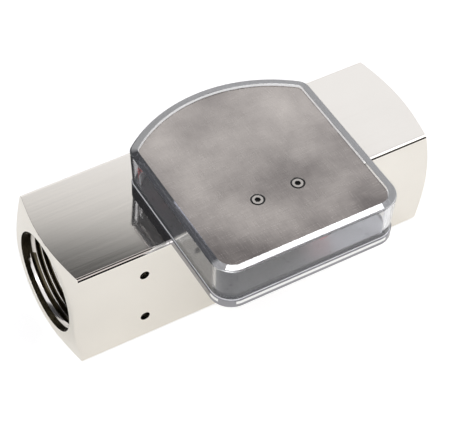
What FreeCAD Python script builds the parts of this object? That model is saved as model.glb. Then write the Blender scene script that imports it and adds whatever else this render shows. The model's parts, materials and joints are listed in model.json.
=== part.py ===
import FreeCAD, Part
import Sketcher
import math
import os

# Variable area flow meter with a magnetically coupled pointer.
# X runs along the flow from inlet to outlet, Y points to the reading window and Z is up.
# The origin is the centre of the body's bottom face. All sizes are in millimetres and degrees.

doc = FreeCAD.newDocument("flow_meter")


# Driving sizes

SIZES = [
    # metal body
    ("body_width", 50.0),
    ("body_length", 162.0),
    ("edge_round", 1.8),
    ("turned_depth", 2.9),
    ("turned_reach", 10.0),
    ("port_wall", 4.045),
    ("port_length", 20.5),
    ("relief_wall", 2.7),
    ("relief_length", 2.5),
    ("seat_wall", 5.6),
    ("chamber_wall", 7.0),
    ("clip_groove_wall", 4.4),
    ("clip_groove_width", 1.6),
    ("clip_land", 0.5),
    ("side_hole_radius", 2.0),
    ("side_hole_depth", 7.0),
    ("side_hole_setback", 30.7),
    ("side_hole_spacing", 25.0),
    # indicator case
    ("pivot_reach", 37.0),
    ("case_side_room", 2.98),
    ("case_front_room", 2.4),
    ("case_rear_room", 1.4),
    ("case_front_round", 9.4),
    ("case_rear_round", 5.5),
    ("flange_inset", 0.5),
    ("flange_height", 3.5),
    ("spigot_height", 1.5),
    ("spigot_gap", 0.4),
    ("seal_thickness", 0.5),
    ("seal_inset", 0.8),
    ("ring_wall", 4.0),
    ("ring_taper", 3.0),
    ("rim_height", 21.2),
    ("rim_width", 3.1),
    ("rim_step", 0.9),
    ("rim_bevel_width", 2.8),
    ("rim_bevel_drop", 0.44),
    ("plate_gap", 0.3),
    ("plate_thickness", 2.0),
    # fasteners of the case
    ("base_screw_x", 20.0),
    ("base_screw_y", 5.0),
    ("base_screw_pitch", 23.0),
    ("base_screw_length", 10.0),
    ("base_screw_radius", 2.0),
    ("base_screw_head", 3.9),
    ("base_screw_play", 0.3),
    ("base_key_radius", 1.44),
    ("base_key_depth", 1.6),
    ("base_hole_depth", 5.6),
    ("cover_screw_x", 8.75),
    ("cover_screw_radius", 1.5),
    ("cover_screw_head", 2.85),
    ("cover_screw_length", 10.0),
    ("cover_screw_play", 0.2),
    ("cover_key_radius", 1.2),
    ("cover_key_depth", 1.2),
    ("post_radius", 3.0),
    ("post_stud_radius", 1.45),
    ("post_stud_length", 3.2),
    ("post_hole_spare", 1.0),
    ("stud_spare", 0.3),
    ("bridge_thickness", 2.0),
    ("bridge_half_width", 4.0),
    ("bridge_hole_play", 0.3),
    ("thread_play", 0.05),
    # flow path
    ("sleeve_play", 0.05),
    ("lead_wall", 3.45),
    ("orifice_wall", 5.35),
    ("orifice_ahead", 0.9),
    ("orifice_length", 6.0),
    ("bell_wall", 2.75),
    ("bell_past", 9.5),
    ("seal_setback", 6.0),
    ("seal_groove_width", 2.0),
    ("seal_groove_depth", 1.5),
    ("seal_section", 0.74),
    ("guide_thickness", 5.0),
    ("guide_play", 0.1),
    ("guide_ring_width", 3.0),
    ("guide_hub_radius", 7.0),
    ("guide_arm_width", 3.2),
    ("guide_arm_root", 1.0),
    ("rod_radius", 2.5),
    ("rod_overhang", 1.0),
    ("rod_play", 0.03),
    ("rod_chamfer", 0.4),
    ("clip_thickness", 1.5),
    ("clip_play", 0.1),
    ("clip_band", 2.7),
    ("clip_opening", 34.0),
    ("clip_gap_spare", 3.0),
    ("lug_radius", 2.2),
    ("lug_inset", 0.6),
    ("lug_turn", 6.0),
    ("lug_eye_radius", 0.99),
    # float
    ("swing_half", 37.0),
    ("float_length", 24.0),
    ("float_nose_radius", 6.0),
    ("float_nose_chamfer", 0.8),
    ("float_disc_gap", 0.3),
    ("float_disc_x", 4.6),
    ("float_disc_width", 1.2),
    ("float_cone_length", 2.0),
    ("float_cup_wall", 1.0),
    ("float_bore_play", 0.05),
    ("float_tube_wall", 1.35),
    ("float_cavity_start", 5.6),
    ("float_cap_length", 2.0),
    ("magnet_length", 14.0),
    ("magnet_wall", 2.5),
    ("magnet_play", 0.05),
    ("stop_play", 0.25),
    ("stop_radius", 3.6),
    ("coil_radius", 5.0),
    ("wire_radius", 0.45),
    ("coil_turns", 10.0),
    ("coil_seat", 0.06),
    # pointer
    ("shaft_radius", 1.0),
    ("shaft_sink", 2.0),
    ("shaft_top_play", 0.3),
    ("shaft_chamfer", 0.3),
    ("bush_radius", 2.5),
    ("bush_flange_radius", 3.4),
    ("bush_flange", 0.6),
    ("bush_depth", 2.4),
    ("bush_spare", 0.3),
    ("bush_top_gap", 0.1),
    ("bush_play", 0.03),
    ("press_play", 0.02),
    ("hub_height", 3.4),
    ("hub_radius", 3.5),
    ("hub_neck_radius", 2.0),
    ("hub_neck", 1.5),
    ("hub_disc_margin", 0.8),
    ("arm_raise", 0.35),
    ("arm_thickness", 0.8),
    ("arm_half_width", 1.6),
    ("arm_taper_start", 4.0),
    ("tip_half_width", 0.6),
    ("tip_radius", 54.2),
    ("tip_thickness", 0.6),
    ("tip_lift", 1.0),
    ("tail_reach", 15.0),
    ("tail_neck", 1.0),
    ("tail_radius", 6.0),
    ("follower_radius", 3.0),
    ("follower_lift", 1.8),
    ("follower_margin", 0.9),
    ("clip_wall", 0.5),
    ("clip_height", 2.6),
    ("weight_radius", 4.6),
    ("weight_height", 2.2),
    # scale
    ("scale_radius", 52.0),
    ("scale_thickness", 0.8),
    ("scale_gap", 0.4),
    ("scale_sink", 0.6),
    ("scale_margin", 4.0),
    ("scale_play", 0.05),
    # reach of the cutting tools beyond the metal
    ("cut_spare", 1.0),
]

sheet = doc.addObject("Spreadsheet::Sheet", "Sizes")
for row, (alias, number) in enumerate(SIZES, start=1):
    cell = f"B{row}"
    sheet.set(f"A{row}", alias)
    sheet.set(cell, str(number))
    sheet.setAlias(cell, alias)
doc.recompute()


# A number that remembers the expression it comes from

class Size:
    """A size with its number and the sheet expression that gives it."""

    def __init__(self, number, text):
        self.number = float(number)
        self.text = text

    def __add__(self, other):
        other = size(other)
        return Size(self.number + other.number, f"({self.text} + {other.text})")

    def __sub__(self, other):
        other = size(other)
        return Size(self.number - other.number, f"({self.text} - {other.text})")

    def __mul__(self, other):
        other = size(other)
        return Size(self.number * other.number, f"({self.text} * {other.text})")

    def __truediv__(self, other):
        other = size(other)
        return Size(self.number / other.number, f"({self.text} / {other.text})")

    def __neg__(self):
        return Size(-self.number, f"(0 - {self.text})")

    __radd__ = __add__

    def __rsub__(self, other):
        return size(other) - self

    __rmul__ = __mul__


def size(value):
    """Gives a plain number the form of a Size."""
    if isinstance(value, Size):
        return value
    return Size(value, repr(float(value)))


def root(value):
    """Square root of a size."""
    return Size(math.sqrt(value.number), f"sqrt({value.text})")


def sine(value):
    """Sine of an angle in degrees."""
    return Size(math.sin(math.radians(value.number)), f"sin({value.text})")


def cosine(value):
    """Cosine of an angle in degrees."""
    return Size(math.cos(math.radians(value.number)), f"cos({value.text})")


S = {alias: Size(number, f"Sizes.{alias}") for alias, number in SIZES}


# Sizes that follow from the driving ones

zero = size(0)
half_body = S["body_width"] / 2
half_length = S["body_length"] / 2
port_radius = half_body - S["port_wall"]
relief_radius = half_body - S["relief_wall"]
seat_radius = half_body - S["seat_wall"]
chamber_radius = half_body - S["chamber_wall"]
clip_groove_radius = half_body - S["clip_groove_wall"]
port_start = half_length - S["port_length"]
relief_start = port_start - S["relief_length"]
clip_end = relief_start - S["clip_land"]
clip_start = clip_end - S["clip_groove_width"]
seat_start = clip_start - S["guide_play"] - S["guide_thickness"]
guide_end = seat_start + S["guide_thickness"]
pivot_y = -S["pivot_reach"]
case_half_width = S["tip_radius"] * sine(S["swing_half"]) + S["case_side_room"] + S["ring_wall"]
case_front_reach = S["tail_reach"] + S["tail_radius"] + S["case_front_room"] + S["ring_wall"]
case_rear_radius = S["tip_radius"] + S["case_rear_room"] + S["ring_wall"]
flange_top = S["body_width"] + S["flange_height"]
floor_level = flange_top + S["spigot_height"]
ring_foot = flange_top + S["seal_thickness"]
rim_level = S["body_width"] + S["rim_height"]
plate_level = rim_level - S["rim_step"]
plate_foot = plate_level - S["plate_thickness"]
bridge_foot = plate_foot - S["bridge_thickness"]
sleeve_radius = chamber_radius - S["sleeve_play"]
lead_radius = sleeve_radius - S["lead_wall"]
orifice_radius = sleeve_radius - S["orifice_wall"]
bell_radius = sleeve_radius - S["bell_wall"]
seal_groove_radius = chamber_radius - S["seal_groove_depth"]
ring_radius = seat_radius - S["sleeve_play"]
rod_fit = S["rod_radius"] + S["rod_play"]
travel = 2 * S["pivot_reach"] * sine(S["swing_half"])
magnet_rest = -travel / 2
cavity_end = S["float_cavity_start"] + S["magnet_length"] + S["magnet_play"] * 2
float_nose = magnet_rest - (S["float_cavity_start"] + cavity_end) / 2
float_tail = float_nose + S["float_length"]
stop_end = float_tail + travel + S["stop_play"]
orifice_start = float_nose + S["orifice_ahead"]
orifice_end = orifice_start + S["orifice_length"]
bell_end = orifice_start + travel + S["bell_past"]
disc_radius = orifice_radius - S["float_disc_gap"]
float_bore = S["rod_radius"] + S["float_bore_play"]
tube_radius = float_bore + S["float_tube_wall"]
magnet_bore = tube_radius + S["magnet_play"]
magnet_radius = magnet_bore + S["magnet_wall"]
cavity_radius = magnet_radius + S["magnet_play"]
cup_radius = cavity_radius + S["float_cup_wall"]
shaft_foot = floor_level - S["shaft_sink"]
shaft_top = plate_foot - S["shaft_top_play"]
arm_level = (floor_level + bridge_foot) / 2 + S["arm_raise"]
hub_foot = arm_level - S["hub_height"]
tip_foot = floor_level + S["tip_lift"]
follower_foot = floor_level + S["follower_lift"]
scale_foot = floor_level - S["scale_sink"]
scale_top = arm_level - S["scale_gap"]
scale_half_angle = S["swing_half"] + S["scale_margin"]


# Ways of making sketches and features

def bind(target, path, value):
    """Ties a property to the sheet."""
    target.setExpression(path, size(value).text)


def new_body(label, x=None, y=None, z=None, turn=None):
    """Starts a named body and places its own origin by sheet values."""
    body = doc.addObject("PartDesign::Body", label)
    body.Label = label
    body.AllowCompound = True
    if turn is not None:
        axis = FreeCAD.Vector(0, 0, 1)
        body.Placement = FreeCAD.Placement(FreeCAD.Vector(0, 0, 0), FreeCAD.Rotation(axis, turn.number))
        bind(body, "Placement.Rotation.Angle", turn)
    for path, value in (("x", x), ("y", y), ("z", z)):
        if value is not None:
            bind(body, f"Placement.Base.{path}", value)
    return body


def origin_part(body, role):
    """Finds a plane or axis of a body's own origin."""
    for item in body.Origin.OriginFeatures:
        if item.Role == role:
            return item
    raise ValueError(role)


def sketch_on(body, name, role="XY_Plane", level=None):
    """Opens a sketch on an origin plane, lifted along the plane's normal."""
    sketch = body.newObject("Sketcher::SketchObject", name)
    sketch.AttachmentSupport = (origin_part(body, role), "")
    sketch.MapMode = "FlatFace"
    if level is not None:
        bind(sketch, "AttachmentOffset.Base.z", level)
    return sketch


def dimension(sketch, kind, index, position, value):
    """Holds one coordinate of a point, at zero by a place on an axis."""
    value = size(value)
    if abs(value.number) < 1e-9:
        axis = -2 if kind == "DistanceX" else -1
        sketch.addConstraint(Sketcher.Constraint("PointOnObject", index, position, axis))
        return
    held = Sketcher.Constraint(kind, -1, 1, index, position, value.number)
    number = sketch.addConstraint(held)
    sketch.setExpression(f"Constraints[{number}]", value.text)


def polygon(sketch, points):
    """Draws a closed outline through points that are all tied to the sheet."""
    start = sketch.GeometryCount
    total = len(points)
    vectors = [FreeCAD.Vector(size(a).number, size(b).number, 0) for a, b in points]
    for index in range(total):
        line = Part.LineSegment(vectors[index], vectors[(index + 1) % total])
        sketch.addGeometry(line, False)
    for index in range(total):
        after = start + (index + 1) % total
        sketch.addConstraint(Sketcher.Constraint("Coincident", start + index, 2, after, 1))
    for index, (a, b) in enumerate(points):
        dimension(sketch, "DistanceX", start + index, 1, a)
        dimension(sketch, "DistanceY", start + index, 1, b)


def circle(sketch, a, b, radius):
    """Draws a circle with a tied centre and radius."""
    centre = FreeCAD.Vector(size(a).number, size(b).number, 0)
    radius = size(radius)
    index = sketch.addGeometry(Part.Circle(centre, FreeCAD.Vector(0, 0, 1), radius.number), False)
    number = sketch.addConstraint(Sketcher.Constraint("Radius", index, radius.number))
    sketch.setExpression(f"Constraints[{number}]", radius.text)
    dimension(sketch, "DistanceX", index, 3, a)
    dimension(sketch, "DistanceY", index, 3, b)


def arc(sketch, centre, radius, first, last):
    """Draws an arc between two angles in radians."""
    whole = Part.Circle(centre, FreeCAD.Vector(0, 0, 1), radius)
    return sketch.addGeometry(Part.ArcOfCircle(whole, first, last), False)


def fan(sketch, inset):
    """Draws the case outline, a rounded front and a rear arc about the pivot, moved inwards by an inset."""
    inset = size(inset)
    half = case_half_width - inset
    front = case_front_reach - inset
    front_round = S["case_front_round"] - inset
    rear = case_rear_radius - inset
    rear_round = S["case_rear_round"] - inset
    side = half.number
    low = -front.number
    small = rear_round.number
    reach = math.sqrt((rear.number - small) ** 2 - (side - small) ** 2)
    lean = math.atan2(reach, side - small)
    rounding = front_round.number
    vector = FreeCAD.Vector
    line_a = Part.LineSegment(vector(-side + rounding, low, 0), vector(side - rounding, low, 0))
    line_b = Part.LineSegment(vector(side, low + rounding, 0), vector(side, reach, 0))
    line_c = Part.LineSegment(vector(-side, reach, 0), vector(-side, low + rounding, 0))
    front_line = sketch.addGeometry(line_a, False)
    low_centre = low + rounding
    right_low = arc(sketch, vector(side - rounding, low_centre, 0), rounding, -math.pi / 2, 0)
    right_line = sketch.addGeometry(line_b, False)
    right_high = arc(sketch, vector(side - small, reach, 0), small, 0, lean)
    rear_arc = arc(sketch, vector(0, 0, 0), rear.number, lean, math.pi - lean)
    left_high = arc(sketch, vector(-side + small, reach, 0), small, math.pi - lean, math.pi)
    left_line = sketch.addGeometry(line_c, False)
    left_low = arc(sketch, vector(-side + rounding, low_centre, 0), rounding, math.pi, 1.5 * math.pi)
    joins = [
        (front_line, 2, right_low, 1),
        (right_low, 2, right_line, 1),
        (right_line, 2, right_high, 1),
        (right_high, 2, rear_arc, 1),
        (rear_arc, 2, left_high, 1),
        (left_high, 2, left_line, 1),
        (left_line, 2, left_low, 1),
        (left_low, 2, front_line, 1),
    ]
    for first, end, second, begin in joins:
        sketch.addConstraint(Sketcher.Constraint("Tangent", first, end, second, begin))
    sketch.addConstraint(Sketcher.Constraint("Coincident", rear_arc, 3, -1, 1))
    sketch.addConstraint(Sketcher.Constraint("Horizontal", front_line))
    sketch.addConstraint(Sketcher.Constraint("Vertical", right_line))
    sketch.addConstraint(Sketcher.Constraint("Vertical", left_line))
    radii = [
        (right_low, front_round),
        (left_low, front_round),
        (right_high, rear_round),
        (left_high, rear_round),
        (rear_arc, rear),
    ]
    for index, radius in radii:
        number = sketch.addConstraint(Sketcher.Constraint("Radius", index, radius.number))
        sketch.setExpression(f"Constraints[{number}]", radius.text)
    dimension(sketch, "DistanceY", front_line, 1, -front)
    dimension(sketch, "DistanceX", right_line, 1, half)
    dimension(sketch, "DistanceX", left_line, 1, -half)


def pad(body, sketch, length, name, down=False):
    """Raises a sketch into a solid."""
    feature = body.newObject("PartDesign::Pad", name)
    feature.Profile = sketch
    bind(feature, "Length", length)
    feature.Reversed = down
    body.Tip = feature
    return feature


def pocket(body, sketch, depth, name, flip=False):
    """Cuts a sketch into the solid against its own normal, or along it when flipped."""
    feature = body.newObject("PartDesign::Pocket", name)
    feature.Profile = sketch
    bind(feature, "Length", depth)
    feature.Reversed = flip
    body.Tip = feature
    return feature


def turned(body, kind, sketch, name, axis="H_Axis", angle=None):
    """Turns a sketch about one of its own axes, to add or to cut."""
    feature = body.newObject(f"PartDesign::{kind}", name)
    feature.Profile = sketch
    feature.ReferenceAxis = (sketch, [axis])
    feature.Angle = 360
    if angle is not None:
        bind(feature, "Angle", angle)
        feature.Midplane = True
    body.Tip = feature
    return feature


def mirrored(body, originals, role, name):
    """Repeats features on the other side of an origin plane."""
    feature = body.newObject("PartDesign::Mirrored", name)
    feature.Originals = originals
    feature.MirrorPlane = (origin_part(body, role), [""])
    body.Tip = feature
    return feature


def row_of(body, originals, role, length, count, name, back=False):
    """Repeats features in a straight row."""
    feature = body.newObject("PartDesign::LinearPattern", name)
    feature.Originals = originals
    feature.Direction = (origin_part(body, role), [""])
    bind(feature, "Length", length)
    feature.Occurrences = count
    feature.Reversed = back
    body.Tip = feature
    return feature


def ring_of(body, originals, role, count, name):
    """Repeats features evenly around an axis."""
    feature = body.newObject("PartDesign::PolarPattern", name)
    feature.Originals = originals
    feature.Axis = (origin_part(body, role), [""])
    feature.Angle = 360
    feature.Occurrences = count
    body.Tip = feature
    return feature


def grid_of(body, originals, along_x, along_y, name):
    """Repeats features at the four corners of a rectangle."""
    feature = body.newObject("PartDesign::MultiTransform", name)
    feature.Originals = originals
    steps = []
    for role, length in (("X_Axis", along_x), ("Y_Axis", along_y)):
        step = body.newObject("PartDesign::LinearPattern", f"{name}_{role[0].lower()}")
        step.Direction = (origin_part(body, role), [""])
        bind(step, "Length", length)
        step.Occurrences = 2
        steps.append(step)
    feature.Transformations = steps
    body.Tip = feature
    return feature


def tube_profile(sketch, x0, x1, inner, outer):
    """Draws the half section of a plain tube about the sketch's horizontal axis."""
    polygon(sketch, [(x0, inner), (x1, inner), (x1, outer), (x0, outer)])


def upright_profile(sketch, inner, outer, foot, top):
    """Draws the half section of a plain tube about the sketch's vertical axis."""
    polygon(sketch, [(inner, foot), (outer, foot), (outer, top), (inner, top)])


# Metal body: square bar, turned ends, stepped through bore, two side holes, four screw holes on top

body = new_body("meter_body")
section = sketch_on(body, "bar_section", "YZ_Plane", -half_length)
low_edge = zero
polygon(section, [
    (-half_body, low_edge),
    (half_body, low_edge),
    (half_body, S["body_width"]),
    (-half_body, S["body_width"]),
])
bar = pad(body, section, S["body_length"], "bar")
doc.recompute()
long_edges = []
for number, edge in enumerate(bar.Shape.Edges, start=1):
    if abs(edge.BoundBox.XLength - bar.Shape.BoundBox.XLength) < 0.001:
        long_edges.append(f"Edge{number}")
rounds = body.newObject("PartDesign::Fillet", "long_edges")
rounds.Base = (bar, long_edges)
bind(rounds, "Radius", S["edge_round"])
body.Tip = rounds


def flow_profile(sketch, points):
    """Draws a half section about the flow axis, which lies at half the body's height."""
    centre = half_body
    polygon(sketch, [(a, centre + b) for a, b in points])


def flow_turned(target, kind, points, name):
    """Turns a half section about the flow axis of the body."""
    sketch = sketch_on(target, f"{name}_section", "XZ_Plane")
    flow_profile(sketch, points)
    start = FreeCAD.Vector(-half_body.number, half_body.number, 0)
    end = FreeCAD.Vector(half_body.number, half_body.number, 0)
    index = sketch.addGeometry(Part.LineSegment(start, end), True)
    sketch.addConstraint(Sketcher.Constraint("Horizontal", index))
    dimension(sketch, "DistanceX", index, 1, -half_body)
    dimension(sketch, "DistanceX", index, 2, half_body)
    dimension(sketch, "DistanceY", index, 1, half_body)
    feature = target.newObject(f"PartDesign::{kind}", name)
    feature.Profile = sketch
    feature.ReferenceAxis = (sketch, ["Axis0"])
    feature.Angle = 360
    target.Tip = feature
    return feature


over = half_length + S["cut_spare"]
bore_half = [
    (seat_start, chamber_radius),
    (seat_start, seat_radius),
    (clip_start, seat_radius),
    (clip_start, clip_groove_radius),
    (clip_end, clip_groove_radius),
    (clip_end, seat_radius),
    (relief_start, seat_radius),
    (relief_start, relief_radius),
    (port_start, relief_radius),
    (port_start, port_radius),
    (over, port_radius),
    (over, zero),
]
bore_points = bore_half + [(-a, b) for a, b in reversed(bore_half)]
flow_turned(body, "Groove", bore_points, "through_bore")

slope = S["turned_depth"] / S["turned_reach"]
wide = half_body * 1.5
end_points = [
    (half_length, half_body),
    (over, half_body),
    (over, wide),
    (half_length - slope * (wide - half_body), wide),
]
outlet_turn = flow_turned(body, "Groove", end_points, "outlet_end")
mirrored(body, [outlet_turn], "YZ_Plane", "inlet_end")

holes = sketch_on(body, "side_hole_centres", "XZ_Plane", half_body)
side_hole_x = S["side_hole_setback"] - half_length
circle(holes, side_hole_x, half_body - S["side_hole_spacing"] / 2, S["side_hole_radius"])
circle(holes, side_hole_x, half_body + S["side_hole_spacing"] / 2, S["side_hole_radius"])
pocket(body, holes, S["side_hole_depth"], "side_holes")

tops = sketch_on(body, "base_hole_centre", "XY_Plane", S["body_width"])
circle(tops, -S["base_screw_x"], S["base_screw_y"] - S["base_screw_pitch"], S["base_screw_radius"])
base_hole = pocket(body, tops, S["base_hole_depth"], "base_hole")
grid_of(body, [base_hole], 2 * S["base_screw_x"], S["base_screw_pitch"], "base_holes")


# Measuring sleeve: lead-in, orifice and the long cone that the float moves through

sleeve = new_body("measuring_sleeve", z=half_body)
section = sketch_on(sleeve, "sleeve_section")
groove_half = S["seal_groove_width"] / 2
seal_x = seat_start - S["seal_setback"]
polygon(section, [
    (-seat_start, sleeve_radius),
    (-seal_x - groove_half, sleeve_radius),
    (-seal_x - groove_half, seal_groove_radius),
    (-seal_x + groove_half, seal_groove_radius),
    (-seal_x + groove_half, sleeve_radius),
    (seal_x - groove_half, sleeve_radius),
    (seal_x - groove_half, seal_groove_radius),
    (seal_x + groove_half, seal_groove_radius),
    (seal_x + groove_half, sleeve_radius),
    (seat_start, sleeve_radius),
    (seat_start, bell_radius),
    (bell_end, bell_radius),
    (orifice_end, orifice_radius),
    (orifice_start, orifice_radius),
    (-seat_start, lead_radius),
])
turned(sleeve, "Revolution", section, "sleeve_turned")

seals = new_body("sleeve_seals", z=half_body)
section = sketch_on(seals, "seal_section")
seal_middle = chamber_radius - S["seal_groove_depth"] / 2
circle(section, -seal_x, seal_middle, S["seal_section"])
seal_ring = turned(seals, "Revolution", section, "seal_ring")
row_of(seals, [seal_ring], "X_Axis", 2 * seal_x, 2, "seal_pair")


# Guides at both ends: rim, three arms and a hub that carries the rod

def guide(label, side, stop_reach):
    """Makes one guide, with the stop that faces the float on its hub."""
    target = new_body(label, z=half_body)
    near = seat_start * side
    far = guide_end * side
    rim = sketch_on(target, f"{label}_rim_section")
    tube_profile(rim, near, far, ring_radius - S["guide_ring_width"], ring_radius)
    turned(target, "Revolution", rim, f"{label}_rim")
    hub = sketch_on(target, f"{label}_hub_section")
    polygon(hub, [
        (stop_reach, rod_fit),
        (far, rod_fit),
        (far, S["guide_hub_radius"]),
        (near, S["guide_hub_radius"]),
        (near, S["stop_radius"]),
        (stop_reach, S["stop_radius"]),
    ])
    turned(target, "Revolution", hub, f"{label}_hub")
    arm = sketch_on(target, f"{label}_arm_outline", "YZ_Plane", near)
    half_arm = S["guide_arm_width"] / 2
    inner = S["guide_hub_radius"] - S["guide_arm_root"]
    outer = ring_radius - S["guide_ring_width"] / 2
    polygon(arm, [(-half_arm, inner), (half_arm, inner), (half_arm, outer), (-half_arm, outer)])
    spoke = pad(target, arm, S["guide_thickness"], f"{label}_arm", down=side < 0)
    ring_of(target, [spoke], "X_Axis", 3, f"{label}_arms")
    return target


guide("inlet_guide", -1, float_nose - S["stop_play"])
guide("outlet_guide", 1, stop_end)

rod = new_body("guide_rod", z=half_body)
section = sketch_on(rod, "rod_section")
rod_end = guide_end + S["rod_overhang"]
rod_edge = S["rod_chamfer"]
polygon(section, [
    (-rod_end, zero),
    (rod_end, zero),
    (rod_end, S["rod_radius"] - rod_edge),
    (rod_end - rod_edge, S["rod_radius"]),
    (rod_edge - rod_end, S["rod_radius"]),
    (-rod_end, S["rod_radius"] - rod_edge),
])
turned(rod, "Revolution", section, "rod_turned")


# Retaining rings: open spring rings with two eared ends

clip_outer = clip_groove_radius - S["clip_play"]
clip_inner = clip_outer - S["clip_band"]


def retaining_ring(label, side):
    """Makes one open ring, with its gap and its two lugs at the bottom."""
    target = new_body(label, z=half_body)
    start = (clip_start + (S["clip_groove_width"] - S["clip_thickness"]) / 2) * side
    outline = sketch_on(target, f"{label}_outline", "YZ_Plane", start)
    circle(outline, 0, 0, clip_outer)
    circle(outline, 0, 0, clip_inner)
    pad(target, outline, S["clip_thickness"], f"{label}_band", down=side < 0)
    gap = sketch_on(target, f"{label}_gap_outline", "YZ_Plane", start)
    spread = S["clip_opening"] / 2
    deep = clip_outer + S["clip_gap_spare"]
    wide_gap = deep * sine(spread) / cosine(spread)
    polygon(gap, [(0, 0), (-wide_gap, -deep), (wide_gap, -deep)])
    pocket(target, gap, S["clip_thickness"], f"{label}_gap", flip=side > 0)
    lug = sketch_on(target, f"{label}_lug_outline", "YZ_Plane", start)
    reach = clip_inner - S["lug_inset"]
    lean = spread + S["lug_turn"]
    for sign in (-1, 1):
        circle(lug, sign * reach * sine(lean), -reach * cosine(lean), S["lug_radius"])
    pad(target, lug, S["clip_thickness"], f"{label}_lugs", down=side < 0)
    eye = sketch_on(target, f"{label}_eye_outline", "YZ_Plane", start)
    for sign in (-1, 1):
        circle(eye, sign * reach * sine(lean), -reach * cosine(lean), S["lug_eye_radius"])
    pocket(target, eye, S["clip_thickness"], f"{label}_eyes", flip=side > 0)
    return target


retaining_ring("inlet_circlip", -1)
retaining_ring("outlet_circlip", 1)


# Float: turned piston with a sharp metering disc, ring magnet and cap

piston = new_body("float_piston", x=float_nose, z=half_body)
section = sketch_on(piston, "piston_section")
nose_edge = S["float_nose_chamfer"]
disc_end = S["float_disc_x"] + S["float_disc_width"]
cap_start = S["float_length"] - S["float_cap_length"]
polygon(section, [
    (zero, float_bore),
    (cap_start, float_bore),
    (cap_start, tube_radius),
    (S["float_cavity_start"], tube_radius),
    (S["float_cavity_start"], cavity_radius),
    (S["float_length"], cavity_radius),
    (S["float_length"], cup_radius),
    (disc_end + S["float_cone_length"], cup_radius),
    (disc_end, disc_radius),
    (S["float_disc_x"], disc_radius),
    (nose_edge, S["float_nose_radius"]),
    (zero, S["float_nose_radius"] - nose_edge),
])
turned(piston, "Revolution", section, "piston_turned")

magnet = new_body("float_magnet", x=float_nose, z=half_body)
section = sketch_on(magnet, "magnet_section")
magnet_start = S["float_cavity_start"] + S["magnet_play"]
tube_profile(section, magnet_start, magnet_start + S["magnet_length"], magnet_bore, magnet_radius)
turned(magnet, "Revolution", section, "magnet_turned")

cap = new_body("float_cap", x=float_nose, z=half_body)
section = sketch_on(cap, "cap_section")
polygon(section, [
    (cavity_end, magnet_bore),
    (cap_start, magnet_bore),
    (cap_start, float_bore),
    (S["float_length"], float_bore),
    (S["float_length"], magnet_radius),
    (cavity_end, magnet_radius),
])
turned(cap, "Revolution", section, "cap_turned")


# Return spring: round wire coiled about the flow axis, between the float and the outlet guide

spring = new_body("return_spring", x=float_tail, z=half_body)
wire = sketch_on(spring, "wire_section")
first_coil = S["wire_radius"] + S["coil_seat"]
circle(wire, first_coil, S["coil_radius"], S["wire_radius"])
coil = spring.newObject("PartDesign::AdditiveHelix", "coil")
coil.Profile = wire
coil.ReferenceAxis = (wire, ["H_Axis"])
coil.Mode = "height-turns-angle"
bind(coil, "Height", seat_start - float_tail - 2 * first_coil)
bind(coil, "Turns", S["coil_turns"])
spring.Tip = coil


# Indicator base: flange on the body, raised floor inside the case, screw holes, seats and scale groove

base = new_body("indicator_base", y=pivot_y)
outline = sketch_on(base, "flange_outline", "XY_Plane", S["body_width"])
fan(outline, S["flange_inset"])
pad(base, outline, S["flange_height"], "flange")
outline = sketch_on(base, "floor_outline", "XY_Plane", flange_top)
fan(outline, S["ring_wall"] + S["spigot_gap"])
pad(base, outline, S["spigot_height"], "raised_floor")
screw_near = S["base_screw_y"] - S["base_screw_pitch"] - pivot_y
hole_radius = S["base_screw_radius"] + S["base_screw_play"]
sink_play = S["thread_play"]


def sunk_profile(sketch, at_x, shank, head, foot, top, play):
    """Draws the half section of a countersunk hole or head beside a vertical line."""
    rise = head - shank
    polygon(sketch, [
        (at_x, foot),
        (at_x + shank + play, foot),
        (at_x + shank + play, top - rise),
        (at_x + head + play, top),
        (at_x, top),
    ])


def upright_turned(target, kind, at_x, name, draw, plane_level=None):
    """Turns a half section about a vertical line through at_x in the sketch."""
    sketch = sketch_on(target, f"{name}_section", "XZ_Plane", plane_level)
    draw(sketch)
    start = FreeCAD.Vector(at_x.number, -half_body.number, 0)
    end = FreeCAD.Vector(at_x.number, half_body.number, 0)
    index = sketch.addGeometry(Part.LineSegment(start, end), True)
    sketch.addConstraint(Sketcher.Constraint("Vertical", index))
    dimension(sketch, "DistanceY", index, 1, -half_body)
    dimension(sketch, "DistanceY", index, 2, half_body)
    dimension(sketch, "DistanceX", index, 1, at_x)
    feature = target.newObject(f"PartDesign::{kind}", name)
    feature.Profile = sketch
    feature.ReferenceAxis = (sketch, ["Axis0"])
    feature.Angle = 360
    target.Tip = feature
    return feature


def base_sink(sketch):
    """Draws the hole for one base screw."""
    foot = S["body_width"] - S["cut_spare"]
    sunk_profile(sketch, -S["base_screw_x"], hole_radius, S["base_screw_head"], foot, floor_level, sink_play)


sink = upright_turned(base, "Groove", -S["base_screw_x"], "screw_sink", base_sink, -screw_near)
grid_of(base, [sink], 2 * S["base_screw_x"], S["base_screw_pitch"], "screw_sinks")
seats = sketch_on(base, "seat_centres", "XY_Plane", floor_level)
stud_hole = S["post_stud_radius"] + S["thread_play"]
circle(seats, -S["cover_screw_x"], 0, stud_hole)
circle(seats, S["cover_screw_x"], 0, stud_hole)
pocket(base, seats, S["post_stud_length"] + S["stud_spare"], "post_seats")
bush_seat = sketch_on(base, "bush_seat_centre", "XY_Plane", floor_level)
circle(bush_seat, 0, 0, S["bush_radius"] + S["press_play"])
pocket(base, bush_seat, S["bush_depth"] + S["bush_spare"], "bush_seat")
groove = sketch_on(base, "scale_groove_section", "YZ_Plane")
scale_inner = S["scale_radius"]
scale_outer = S["scale_radius"] + S["scale_thickness"]
groove_top = floor_level + S["cut_spare"]
upright_profile(groove, scale_inner - S["scale_play"], scale_outer + S["scale_play"], scale_foot, groove_top)
turned(base, "Groove", groove, "scale_groove", "V_Axis", 2 * scale_half_angle + 0.2)

screws = new_body("base_screws", y=pivot_y)


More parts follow.
